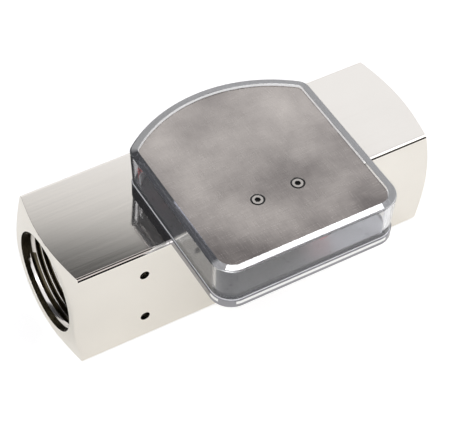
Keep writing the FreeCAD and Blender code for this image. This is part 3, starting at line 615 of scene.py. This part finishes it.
def ease(skin: Solid, edges: list[bmesh.types.BMEdge], width: float, segments: int) -> None:
    """Rounds edges of a shape.

    Args:
        skin: the shape.
        edges: its edges to round.
        width: how wide the rounding is, in millimetres.
        segments: how many faces it has.
    """
    bmesh.ops.bevel(
        skin, geom=edges, offset=width * MM, offset_type="OFFSET", segments=segments, profile=0.5,
        affect="EDGES", clamp_overlap=True,
    )


def evened(skin: Solid, name: str, sharp: float = SHARP_TURN) -> Object:
    """Makes an object whose large flat faces shade flat, with sharp edges round those that look along the flow.

    Args:
        skin: the shape, which is used up.
        name: the object's name.
        sharp: edges that turn by more than this many degrees stay sharp.

    Returns:
        The object.
    """
    mesh = bpy.data.meshes.new(name)
    skin.to_mesh(mesh)
    skin.free()
    smooth(mesh, sharp)
    edges = {edge.key: edge for edge in mesh.edges}
    for face in mesh.polygons:
        if abs(face.normal.x) > END_FACE:
            for key in face.edge_keys:
                edges[key].use_edge_sharp = True
    draft = linked(f"{name}_draft", mesh)
    modifier = draft.modifiers.new("even", "WEIGHTED_NORMAL")
    modifier.mode = "FACE_AREA"
    modifier.weight = 100
    modifier.keep_sharp = True
    final = as_seen(draft)
    final.name = name
    return linked(name, final)


def refined(node: Object, name: str, width: float) -> Object:
    """Makes a piece from a CAD node's shape, with eased edges, inside the node's own box.

    Args:
        node: the CAD node.
        name: the piece's name.
        width: width of the eased edges, in millimetres.

    Returns:
        The piece.
    """
    skin = merged(node)
    corners = [edge for edge in skin.edges if edge.calc_face_angle(0.0) > math.radians(SHARP_TURN)]
    ease(skin, corners, width, segments=2)
    box = [(min(values), max(values)) for values in zip(*(vert.co for vert in node.data.vertices))]
    for vert in skin.verts:
        vert.co = [min(max(value, low), high) for value, (low, high) in zip(vert.co, box)]
    return evened(skin, name)


@dataclass(frozen=True)
class CaseOutline:
    """The case seen from above: straight front and sides, rounded corners and an arc about the pivot."""

    half_width: float = 39.6
    front_reach: float = 27.4
    front_round: float = 9.4
    rear_radius: float = 59.6
    rear_round: float = 5.5
    front_steps: int = 14
    rear_steps: int = 10
    arc_steps: int = 64

    def loop(self, inset: float, level: float) -> Loop:
        """Follows the outline, moved inwards.

        Args:
            inset: how far inside the outline, in millimetres.
            level: height above the body's bottom face, in millimetres.

        Returns:
            The points, anticlockwise from above.
        """
        half = self.half_width - inset
        low = inset - self.front_reach
        front = self.front_round - inset
        rear = self.rear_radius - inset
        small = self.rear_round - inset
        reach = math.sqrt((rear - small) ** 2 - (half - small) ** 2)
        lean = math.atan2(reach, half - small)
        runs = [
            (half - front, low + front, front, -0.5 * math.pi, 0.0, self.front_steps),
            (half - small, reach, small, 0.0, lean, self.rear_steps),
            (0.0, 0.0, rear, lean, math.pi - lean, self.arc_steps),
            (small - half, reach, small, math.pi - lean, math.pi, self.rear_steps),
            (front - half, low + front, front, math.pi, 1.5 * math.pi, self.front_steps),
        ]
        points = []
        for mid_x, mid_y, radius, first, last, steps in runs:
            for step in range(steps + 1):
                turn = first + (last - first) * step / steps
                x = mid_x + radius * math.cos(turn)
                y = mid_y + radius * math.sin(turn) + PIVOT_Y
                points.append(Vector((x, y, level)) * MM)
        return points


# Sub-assemblies


@dataclass
class Workshop:
    """The finishes that the pieces share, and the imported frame."""

    frame: dict
    finishes: dict[str, Material] = field(default_factory=dict)

    def mix_finishes(self) -> None:
        """Builds each finish once."""
        for key, finish in FINISHES.items():
            self.finishes[key] = finish.build()

    def dress_nodes(self, **nodes: tuple[str, ...]) -> None:
        """Gives CAD nodes their finishes.

        Args:
            **nodes: for the key of each finish, the names of its nodes.
        """
        for key, names in nodes.items():
            for name in names:
                node = self.frame["nodes"][name]
                smooth(node.data, SHARP_TURN)
                dress(node, self.finishes[key])
                LOG.info("dressed %s in %s", name, key)

    def settle(self, piece: Object, key: str, body: str, slot: str, *nodes: str) -> None:
        """Gives a new piece its finish and its body.

        Args:
            piece: the piece.
            key: the finish.
            body: the CAD body that it rides on.
            slot: the record's material slot, which is not used.
            *nodes: CAD nodes that it stands for.
        """
        dress(piece, self.finishes[key])
        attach(piece, body)
        if nodes:
            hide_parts(*nodes)
        LOG.info("built %s", piece.name)

    def paint(self, piece: Object, key: str, faces: list[Face]) -> None:
        """Gives some faces of a piece one more finish.

        Args:
            piece: the piece.
            key: the finish.
            faces: the faces.
        """
        piece.data.materials.append(self.finishes[key])
        for face in faces:
            face.material_index = len(piece.data.materials) - 1


@dataclass(frozen=True)
class SocketScrew:
    """A countersunk screw with a hexagon socket, bright steel on the top of its head and near black elsewhere, as
    painted shade in its socket and in the groove round its head.
    """

    top: float
    foot: float
    head_radius: float
    worn_radius: float
    shank_radius: float
    key_radius: float
    key_depth: float
    groove_depth: float = 0.25
    drill_depth: float = 0.3
    drill_radius: float = 0.05
    key_chamfer: float = 0.1
    head_drop: float = 0.03
    tip_chamfer: float = 0.3
    steps: int = 48
    worn_row: int = 4

    def rows(self) -> list[tuple[float, float, float]]:
        """Lists the rows of points from the socket's bottom to the foot.

        Returns:
            The radius, the level and how six-sided each row is.
        """
        top, foot, rim, shank = self.top, self.foot, self.head_radius, self.shank_radius
        key, unshaded = self.key_radius, self.worn_radius
        floor, groove, seat = top - self.key_depth, top - self.groove_depth, top - self.head_drop
        return [
            (self.drill_radius, floor - self.drill_depth, 0.0),
            (key * 0.9, floor, 1.0),
            (key, floor, 1.0),
            (key, top - self.key_chamfer, 1.0),
            (key + self.key_chamfer, top, 0.7),
            (unshaded, top, 0.0),
            (unshaded + 0.06, top - 0.05, 0.0),
            (unshaded + 0.08, groove, 0.0),
            (rim - 0.12, groove, 0.0),
            (rim - 0.04, top - 0.02, 0.0),
            (rim, seat, 0.0),
            (shank, seat - (rim - shank), 0.0),
            (shank, foot + self.tip_chamfer, 0.0),
            (shank - self.tip_chamfer, foot, 0.0),
            (self.drill_radius, foot, 0.0),
        ]

    def skin(self, place: Point) -> Skin:
        """Builds one screw.

        Args:
            place: X and Y of its axis, in millimetres.

        Returns:
            The points and the faces.
        """
        sixth = math.pi / 3
        loops = []
        for radius, level, flats in self.rows():
            loop = []
            for step in range(self.steps):
                turn = 2 * math.pi * step / self.steps
                lean = (turn + sixth / 2) % sixth - sixth / 2
                reach = radius * (1 - flats + flats * math.cos(sixth / 2) / math.cos(lean))
                x, y = place[0] + reach * math.cos(turn), place[1] + reach * math.sin(turn)
                loop.append(Vector((x, y, level)) * MM)
            loops.append(loop)
        verts, sides = bridge(loops, False)
        faces = [side[::-1] for side in sides]
        faces.append(tuple(range(self.steps)))
        faces.append(tuple(reversed(range(len(verts) - self.steps, len(verts)))))
        return verts, faces

    def build(self, shop: Workshop, name: str, places: tuple[Point, ...], node: str) -> None:
        """Makes one piece of equal screws.

        Args:
            shop: the finishes.
            name: the piece's name.
            places: X and Y of the screws, in millimetres.
            node: the CAD node of the screws.
        """
        skins = [self.skin(place) for place in places]
        piece = add_piece(name, joined(skins), SHARP_TURN)
        # painted shade: each screw is near black except the flat top of its head, which keeps the steel's own colour
        shop.settle(piece, "screw_shade", "housing", "screw_steel", node)
        each = len(skins[0][1])
        unshaded = [face for face in piece.data.polygons if face.index % each // self.steps == self.worn_row]
        shop.paint(piece, "screw", unshaded)


@dataclass
class FlowBody:
    """The square metal body with its ports, sleeve, guides and rings."""

    edge_width: float = 0.12
    root_radius: float = 20.95
    crest_radius: float = 19.5
    crest_round: float = 0.1
    flank_foot: float = 0.98
    flank_top: float = 0.18
    pitch: float = 2.309
    thread_start: float = 60.6
    thread_end: float = 79.0
    port_depth: float = 80.7
    wall_margin: float = 0.2
    turn_steps: int = 72
    fade_steps: float = 18.0
    least_rise: float = 0.02
    ridge_sides: int = 5
    worn_sides: tuple[int, ...] = (1, 2)
    worn_at_end: tuple[int, ...] = (1, 2, 3)

    def build(self, shop: Workshop) -> None:
        """Cuts the two port threads and makes the body, with painted shade on the bore walls and the thread flanks,
        while the crests keep bright metal.

        Args:
            shop: the finishes.
        """
        for side, name in ((-1, "inlet_thread"), (1, "outlet_thread")):
            skin = self.thread(side)
            piece = add_piece(name, skin, 40.0)
            # painted shade on the whole thread; then the crests, and the last turn at the mouth, get bright metal
            # back
            shop.settle(piece, "port", "housing", "nickel_body")
            last_turn = len(skin[1]) - self.ridge_sides * self.turn_steps
            unshaded = [
                face for face in piece.data.polygons
                if face.index % self.ridge_sides in (self.worn_at_end if face.index > last_turn else self.worn_sides)
            ]
            shop.paint(piece, "crest", unshaded)
        body = refined(shop.frame["nodes"]["meter_body"], "square_body", self.edge_width)
        shop.settle(body, "nickel", "housing", "nickel_body", "meter_body")
        # painted shade over the bore walls
        shop.paint(body, "port", [face for face in body.data.polygons if self.in_port(face.center)])

    def in_port(self, point: Vector) -> bool:
        """Tells whether a point is on the wall of the bore."""
        reach = math.hypot(point.y, point.z - FLOW_LEVEL * MM)
        return reach < (self.root_radius + self.wall_margin) * MM and abs(point.x) < self.port_depth * MM

    def thread(self, side: int) -> Skin:
        """Winds one thread ridge on the port's wall.

        Args:
            side: minus one for the inlet, one for the outlet.

        Returns:
            The points and the faces, with as many faces to each step as the ridge has sides.
        """
        turns = (self.thread_end - self.thread_start) / self.pitch - 1.0
        total = int(self.turn_steps * turns)
        half, root = self.pitch * 0.5, self.root_radius
        foot, flat = half * self.flank_foot, half * self.flank_top
        loops = []
        for index in range(total + 1):
            turn = 2 * math.pi * index / self.turn_steps
            along = self.thread_start + half + self.pitch * index / self.turn_steps
            fade = min(1.0, index / self.fade_steps, (total - index) / self.fade_steps)
            crest = root + (self.crest_radius - root) * max(fade, self.least_rise)
            edge = crest + self.crest_round
            shape = [(-foot, root), (-flat, edge), (0.0, crest), (flat, edge), (foot, root)]
            loops.append([about_flow(side * (along + shift), radius, turn) for shift, radius in shape])
        return bridge(loops, False)

    def dress(self, shop: Workshop) -> None:
        """Gives the flow parts their finishes."""
        shop.dress_nodes(
            brass=("measuring_sleeve", "float_piston", "float_cap"),
            steel=("inlet_guide", "outlet_guide", "guide_rod"),
            wire=("inlet_circlip", "outlet_circlip"),
            rubber=("sleeve_seals",),
            magnet=("float_magnet",),
        )


@dataclass
class ReturnSpring:
    """The coil between the float and the outlet guide."""

    mean_radius: float = 5.0
    wire_radius: float = 0.45
    start: float = -10.4
    end: float = 50.25
    turns: float = 10.0
    turn_steps: int = 40
    wire_steps: int = 10

    def build(self, shop: Workshop) -> None:
        """Winds the wire.

        Args:
            shop: the finishes.
        """
        around = self.wire_steps
        total = int(self.turns * self.turn_steps)
        loops = []
        for index in range(total + 1):
            turn = 0.5 * math.pi - 2 * math.pi * index / self.turn_steps
            along = self.start + (self.end - self.start) * index / total
            loop = []
            for point in range(around):
                small = 2 * math.pi * point / around
                radius = self.mean_radius + self.wire_radius * math.cos(small)
                loop.append(about_flow(along + self.wire_radius * math.sin(small), radius, turn))
            loops.append(loop)
        verts, faces = bridge(loops, False)
        faces.append(tuple(reversed(range(around))))
        faces.append(tuple(range(total * around, total * around + around)))
        piece = add_piece("spring_coil", (verts, faces), 60.0)
        shop.settle(piece, "wire", "housing", "spring_steel", "return_spring")
        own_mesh(piece)


@dataclass
class IndicatorCase:
    """The clear-walled case: base, seal, ring, plate and screws."""

    outline: CaseOutline = CaseOutline()
    ring_foot: float = 54.0
    rim_level: float = 71.2
    plate_foot: float = 68.3
    plate_edge: float = 0.08
    rim_width: float = 3.1
    rim_slope: float = 9.0
    rim_round: float = 0.6
    ring_wall: float = 4.0
    small_edge: float = 0.05
    foot_edge: float = 0.1
    foot_inset: float = 0.9
    flange_inset: float = 0.5
    flange_top: float = 53.5
    flange_edge: float = 0.1
    side_margin: float = 1.0
    rear_margin: float = 2.0
    lip_level: float = 53.0
    lip_foot: float = 51.5
    lip_ends: float = -46.0
    groove_size: float = 0.3
    groove_share: float = 0.8
    groove_reach: float = 0.01
    rim_facing: float = 0.3
    under_facing: float = -0.9
    upright_facing: float = 0.95
    edge_turn: float = 0.5
    cover_screw: SocketScrew = SocketScrew(70.3, 60.3, 2.85, 2.12, 1.5, 1.15, 1.2)
    cover_places: tuple[Point, ...] = ((-8.75, -37.0), (8.75, -37.0))
    base_screw: SocketScrew = SocketScrew(55.0, 45.0, 3.9, 3.2, 1.95, 1.4, 2.3)
    base_places: tuple[Point, ...] = ((-20.0, -18.0), (-20.0, 5.0), (20.0, -18.0), (20.0, 5.0))

    def build(self, shop: Workshop) -> None:
        """Makes the clear ring, the cover plate, the base and the screws.

        Args:
            shop: the finishes.
        """
        nodes = shop.frame["nodes"]
        ring = self.ring()
        shop.settle(ring, "clear", "housing", "clear_plastic", "window_ring")
        shop.paint(ring, "rim", [face for face in ring.data.polygons if face.normal.z > self.rim_facing])
        plate = refined(nodes["cover_plate"], "ground_cover", self.plate_edge)
        shop.settle(plate, "plate", "housing", "cover_metal", "cover_plate")
        # painted shade: the cover plate's downward faces get the dark underside finish
        under = [face for face in plate.data.polygons if face.normal.z < self.under_facing]
        shop.paint(plate, "underside_shade", under)
        base = self.base(nodes["indicator_base"])
        shop.settle(base, "floor", "housing", "base_metal", "indicator_base")
        flange = [face for face in base.data.polygons if face.center.z < self.ring_foot * MM]
        shop.paint(base, "side", flange)
        # painted highlight: the front lip gets the bright copy of the flange metal
        shop.paint(base, "lip_highlight", [face for face in flange if self.on_lip(face)])
        self.cover_screw.build(shop, "cover_screw_set", self.cover_places, "cover_screws")
        self.base_screw.build(shop, "base_screw_set", self.base_places, "base_screws")

    def outside(self, point: Vector) -> bool:
        """Tells whether a point, in metres, is on the flange's outer side."""
        x, y = point.x / MM, point.y / MM - PIVOT_Y
        return (
            abs(x) > self.outline.half_width - self.flange_inset - self.side_margin
            or y < self.side_margin - self.outline.front_reach
            or math.hypot(x, y) > self.outline.rear_radius - self.rear_margin
        )

    def on_lip(self, face: Face) -> bool:
        """Tells whether a face is on the lip round the front of the flange, which is made bright as a painted
        highlight.
        """
        ahead = abs(face.normal.z) < self.upright_facing and face.center.y / MM < self.lip_ends
        return ahead and self.lip_foot < face.center.z / MM < self.lip_level and self.outside(face.center)

    def base(self, node: Object) -> Object:
        """Makes the flange and floor, with a groove above the flange's polished lip, which gets a painted highlight.

        Args:
            node: the CAD node of the base.

        Returns:
            The base.
        """
        skin = merged(node)
        groove_middle = self.lip_level + self.groove_size / 2
        for level in (self.lip_foot, self.lip_level, groove_middle, self.lip_level + self.groove_size):
            parts = skin.verts[:] + skin.edges[:] + skin.faces[:]
            bmesh.ops.bisect_plane(skin, geom=parts, plane_co=(0, 0, level * MM), plane_no=(0, 0, 1))
        skin.normal_update()
        depth = self.groove_size * self.groove_share * MM
        for vert in skin.verts:
            if abs(vert.co.z - groove_middle * MM) < self.groove_reach * MM and self.outside(vert.co):
                vert.co.x -= vert.normal.x * depth
                vert.co.y -= vert.normal.y * depth
        ease(skin, [edge for edge in skin.edges if self.on_flange_edge(edge)], self.flange_edge, segments=3)
        return evened(skin, "case_base")

    def on_flange_edge(self, edge: bmesh.types.BMEdge) -> bool:
        """Tells whether an edge is part of the flange's outer top edge."""
        ends = [abs(end.co.z - self.flange_top * MM) < WELD * MM and self.outside(end.co) for end in edge.verts]
        return all(ends) and edge.calc_face_angle(0.0) > self.edge_turn

    def ring(self) -> Object:
        """Makes the clear ring with rounded rim edges.

        Returns:
            The ring.
        """
        edge, small, width = self.rim_round, self.small_edge, self.rim_width
        foot, top, inset = self.ring_foot, self.rim_level, self.foot_inset
        outer = top - math.tan(math.radians(self.rim_slope)) * (width - edge - small)
        section = [
            (inset + self.foot_edge, foot),
            (inset, foot + self.foot_edge),
            (inset * 0.5, (foot + top) / 2),
            (small, outer - edge),
            (edge * 0.13, outer - edge * 0.55),
            (edge * 0.5, outer - edge * 0.18),
            (edge, outer),
            (width - small, top),
            (width, top - small),
            (width, self.plate_foot),
            (self.ring_wall, self.plate_foot),
            (self.ring_wall, foot),
        ]
        loops = [self.outline.loop(depth, level) for depth, level in held(section, margin=0.1, least=0.8)]
        return add_piece("clear_ring", bridge(loops, True))

    def dress(self, shop: Workshop) -> None:
        """Gives the case's CAD nodes their finishes."""
        shop.dress_nodes(
            milky=("window_seal",),
            steel=("plate_posts", "bearing_bridge"),
            brass=("lower_bush", "upper_bush"),
            white=("scale_strip",),
        )
        ScaleMarks().build(shop)


@dataclass(frozen=True)
class ScaleMarks:
    """Printed divisions and plain numbers on the scale's outer face."""

    radius: float = 52.8
    print_root: float = -0.02
    print_depth: float = 0.04
    swing: float = 74.0
    divisions: int = 20
    long_mark: Triple = (0.35, 60.2, 58.0)
    short_mark: Triple = (0.2, 60.2, 59.0)
    number_height: float = 2.2
    letter_height: float = 1.4
    letter_depth: float = 0.5
    letter_steps: int = 3
    number_foot: float = 55.4

    def at(self, turn: float, level: float, lift: float) -> Vector:
        """Gives a point by its angle from the middle, its level and how far it stands out of the strip."""
        reach = self.radius + lift
        return Vector((reach * math.sin(turn), PIVOT_Y + reach * math.cos(turn), level)) * MM

    def mark(self, turn: float, width: float, top: float, foot: float) -> Skin:
        """Makes one division mark.

        Args:
            turn: where it is, in radians.
            width: its width, in millimetres.
            top: its upper level, in millimetres.
            foot: its lower level, in millimetres.

        Returns:
            The points and the faces.
        """
        half = width / 2 / self.radius
        corners = [(turn - half, foot), (turn + half, foot), (turn + half, top), (turn - half, top)]
        loops = [[self.at(*corner, lift) for corner in corners] for lift in (self.print_root, self.print_depth)]
        verts, faces = bridge(loops, False)
        return verts, faces + [(3, 2, 1, 0), (4, 5, 6, 7)]

    def number(self, value: int, turn: float) -> Skin:
        """Makes one number, bent round the strip and read from the window.

        Args:
            value: the number.
            turn: the middle of it, in radians.

        Returns:
            The points and the faces.
        """
        words = bpy.data.curves.new(f"number_{value}", "FONT")
        words.body = str(value)
        words.size = self.number_height * self.letter_height
        words.align_x = "CENTER"
        words.extrude = self.letter_depth
        words.resolution_u = self.letter_steps
        mesh = as_seen(linked(f"number_{value}", words))
        verts = []
        for vert in mesh.vertices:
            lift = self.print_depth if vert.co.z > 0 else self.print_root
            verts.append(self.at(turn - vert.co.x / self.radius, self.number_foot + vert.co.y, lift))
        faces = [tuple(face.vertices) for face in mesh.polygons]
        bpy.data.meshes.remove(mesh)
        return verts, faces

    def build(self, shop: Workshop) -> None:
        """Prints the scale, with a long mark at every second division and a number at every fourth.

        Args:
            shop: the finishes.
        """
        parts = []
        for index in range(self.divisions + 1):
            turn = math.radians(self.swing * (index / self.divisions - 0.5))
            parts.append(self.mark(turn, *(self.short_mark if index % 2 else self.long_mark)))
            if index % 4 == 0:
                parts.append(self.number(index // 2, turn))
        piece = add_piece("scale_print", joined(parts), 20.0)
        shop.settle(piece, "ink", "housing", "scale_white")


@dataclass
class Needle:
    """The pointer and what turns with it."""

    def dress(self, shop: Workshop) -> None:
        """Gives the pointer's CAD nodes their finishes."""
        shop.dress_nodes(
            red=("pointer", "counterweight"),
            brass=("pointer_hub",),
            steel=("pointer_shaft", "magnet_clip"),
            magnet=("pointer_magnet",),
        )


# Studio


@dataclass
class Lamp:
    """One soft rectangular lamp, which may be kept to one piece, as a small reflector is."""

    name: str
    place: Triple
    sides: Span
    power: float
    tone: Tone = WHITE
    level: Triple = (1.0, 0.0, 0.0)
    lights: str = ""

    def build(self, aim: Vector) -> None:
        """Hangs the lamp and turns it to the object.

        Args:
            aim: the point that it faces.
        """
        light = bpy.data.lights.new(self.name, "AREA")
        light.shape = "RECTANGLE"
        light.size, light.size_y = self.sides
        light.energy = self.power
        light.color = self.tone
        lamp = linked(self.name, light)
        back = (Vector(self.place) - aim).normalized()
        level = Vector(self.level)
        level = (level - back * back.dot(level)).normalized()
        lamp.matrix_world = turned(level, back.cross(level), back, Vector(self.place))
        if self.lights:
            lit = bpy.data.collections.new(f"{self.name}_lit")
            lit.objects.link(bpy.data.objects[self.lights])
            lamp.light_linking.receiver_collection = lit


@dataclass(frozen=True)
class Sky:
    """Soft studio surroundings with dark gaps, by height at the rear and by degrees from the horizon in front."""

    rear_bands: Stops = (
        (0.72, (0.93, 0.93, 0.95)),
        (0.738, (0.78, 0.77, 0.77)),
        (0.747, (0.67, 0.66, 0.66)),
        (0.7525, (0.56, 0.55, 0.55)),
        (0.757, (0.35, 0.35, 0.35)),
        (0.762, (0.17, 0.17, 0.17)),
        (0.767, (0.09, 0.09, 0.09)),
        (0.775, (0.06, 0.06, 0.06)),
        (0.86, (0.12, 0.12, 0.13)),
        (0.93, (0.75, 0.75, 0.78)),
    )
    stripes: tuple[tuple[Span, Tone], ...] = (
        ((0.0, 42.0), (0.015, 0.013, 0.012)),
        ((45.0, 72.0), (0.72, 0.68, 0.68)),
        ((75.0, 107.0), (0.02, 0.02, 0.02)),
        ((109.0, 120.0), (0.80, 0.76, 0.76)),
        ((122.0, 180.0), (0.08, 0.08, 0.08)),
    )
    open: Stops = (
        (0.0, (0.03, 0.025, 0.022)),
        (42.0, (0.03, 0.025, 0.022)),
        (46.0, (0.88, 0.88, 0.90)),
        (180.0, (0.93, 0.93, 0.97)),
    )
    half_turn: float = 180.0
    pale: Colour = (0.90, 0.90, 0.92, 1.0)
    open_from: Span = (0.36, 0.43)
    rear_from: Span = (119.0, 123.0)
    rear_gap: Colour = (0.06, 0.06, 0.065, 1.0)
    rear_gap_to: Span = (0.06, 0.16)
    gap_middle: float = 0.34
    gap_half: Span = (0.19, 0.25)

    def build(self) -> None:
        """Makes the world's shader, which the camera itself sees as plain white."""
        world = bpy.data.worlds.new("studio_sky")
        bpy.context.scene.world = world
        world.use_nodes = True
        graph = Graph(world.node_tree)
        way = graph.add("SeparateXYZ", {0: graph.add("TexCoord").outputs["Generated"]}).outputs
        turn = graph.work_out("ARCTAN2", way["Z"], graph.work_out("MULTIPLY", way["Y"], -1.0))
        angle = graph.work_out("DEGREES", turn)
        share = graph.work_out("DIVIDE", angle, self.half_turn)
        bands = tuple((end, tone) for ends, tone in self.stripes for end in ends)
        striped = graph.ramp(share, bands, self.half_turn)
        front = graph.change(way["X"], self.open_from, striped, graph.ramp(share, self.open, self.half_turn))
        away = graph.work_out("ABSOLUTE", graph.work_out("SUBTRACT", way["X"], self.gap_middle))
        front = graph.change(away, self.gap_half, front, self.pale)
        rear = graph.change(way["X"], self.rear_gap_to, self.rear_gap, graph.ramp(way["Z"], self.rear_bands))
        whole = graph.change(angle, self.rear_from, front, rear)
        back = graph.add("Background", {"Color": whole})
        plain = graph.add("Background", {"Color": (*WHITE, 1.0)})
        mix = graph.layered(graph.add("LightPath").outputs["Is Camera Ray"], back, plain)
        graph.add("OutputWorld", {"Surface": mix.outputs[0]})


@dataclass
class Studio:
    """Floor, sky, lamps and camera."""

    azimuth: float = -31.948
    elevation: float = 48.583
    roll: float = -2.4285
    distance: float = 0.72732
    centre: Triple = (0.0, 0.0, 0.025)
    centre_shift: Span = (-8.094, -10.973)
    focal: float = 1800.0
    sensor: float = 36.0
    image_width: float = 467.0
    nearest: float = 0.01
    aim: Triple = (0.0, -0.01, 0.035)
    floor_half: float = 3.0
    lamps: tuple[Lamp, ...] = (
        Lamp("key_lamp", (-0.5, -0.6, 0.9), (0.7, 0.7), 3.0),
        Lamp("fill_lamp", (0.8, -0.3, 0.7), (0.8, 0.8), 2.0),
        Lamp("side_lamp", (0.90, 0.12, 0.42), (0.30, 0.20), 95.0, lights="case_base"),
        Lamp("front_band", (0.315, 0.222, 0.97), (0.30, 0.075), 0.26, lights="clear_ring"),
        Lamp("corner_band", (0.13, 0.265, 0.995), (0.12, 0.07), 0.1, lights="clear_ring"),
        Lamp(
            "left_band", (0.068, 0.528, 0.893), (0.05, 0.07), 0.014,
            tone=(0.86, 0.86, 1.0), level=(1.0, 0.074, 0.0), lights="clear_ring",
        ),
    )

    def build(self) -> None:
        """Sets up everything that isn't the object."""
        self.floor()
        Sky().build()
        for lamp in self.lamps:
            lamp.build(Vector(self.aim))
        self.camera()

    def floor(self) -> None:
        """Lays the paper under the object."""
        half = self.floor_half
        verts = [Vector((x, y, 0.0)) for x, y in ((-half, -half), (half, -half), (half, half), (-half, half))]
        paper = add_piece("studio_floor", (verts, [(0, 1, 2, 3)]))
        dress(paper, StudioPaper().build())
        paper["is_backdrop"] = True

    def camera(self) -> None:
        """Places the camera at the viewing angle."""
        azimuth, elevation, roll = map(math.radians, (self.azimuth, self.elevation, self.roll))
        level = math.cos(elevation)
        ahead = Vector((-math.sin(azimuth) * level, math.cos(azimuth) * level, -math.sin(elevation)))
        side = ahead.cross(Vector((0.0, 0.0, 1.0))).normalized()
        drop = ahead.cross(side)
        right = side * math.cos(roll) + drop * math.sin(roll)
        down = drop * math.cos(roll) - side * math.sin(roll)
        along, across = (shift / self.focal * self.distance for shift in self.centre_shift)
        place = Vector(self.centre) - right * along - down * across - ahead * self.distance
        lens = bpy.data.cameras.new("camera")
        lens.sensor_width = self.sensor
        lens.lens = self.focal / self.image_width * self.sensor
        lens.clip_start = self.nearest
        view = linked("camera", lens)
        view.matrix_world = turned(right, -down, -ahead, place)
        bpy.context.scene.camera = view


def write_sizes(after: object) -> None:
    """Args:
        after: the dressed model's box, which is not used.
    """
    def plain(box: object) -> list[list[float]]:
        """Turns a box into plain lists."""
        return [[float(value) for value in corner] for corner in box]


def main() -> None:
    """Builds the whole scene."""
    logging.basicConfig(level=logging.INFO)
    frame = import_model()
    bpy.context.scene.view_settings.view_transform = "Standard"
    shop = Workshop(frame)
    shop.mix_finishes()
    body = FlowBody()
    body.build(shop)
    body.dress(shop)
    ReturnSpring().build(shop)
    case = IndicatorCase()
    case.build(shop)
    case.dress(shop)
    Needle().dress(shop)
    Studio().build()
    write_sizes(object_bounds())


if __name__ == "__main__":
    main()
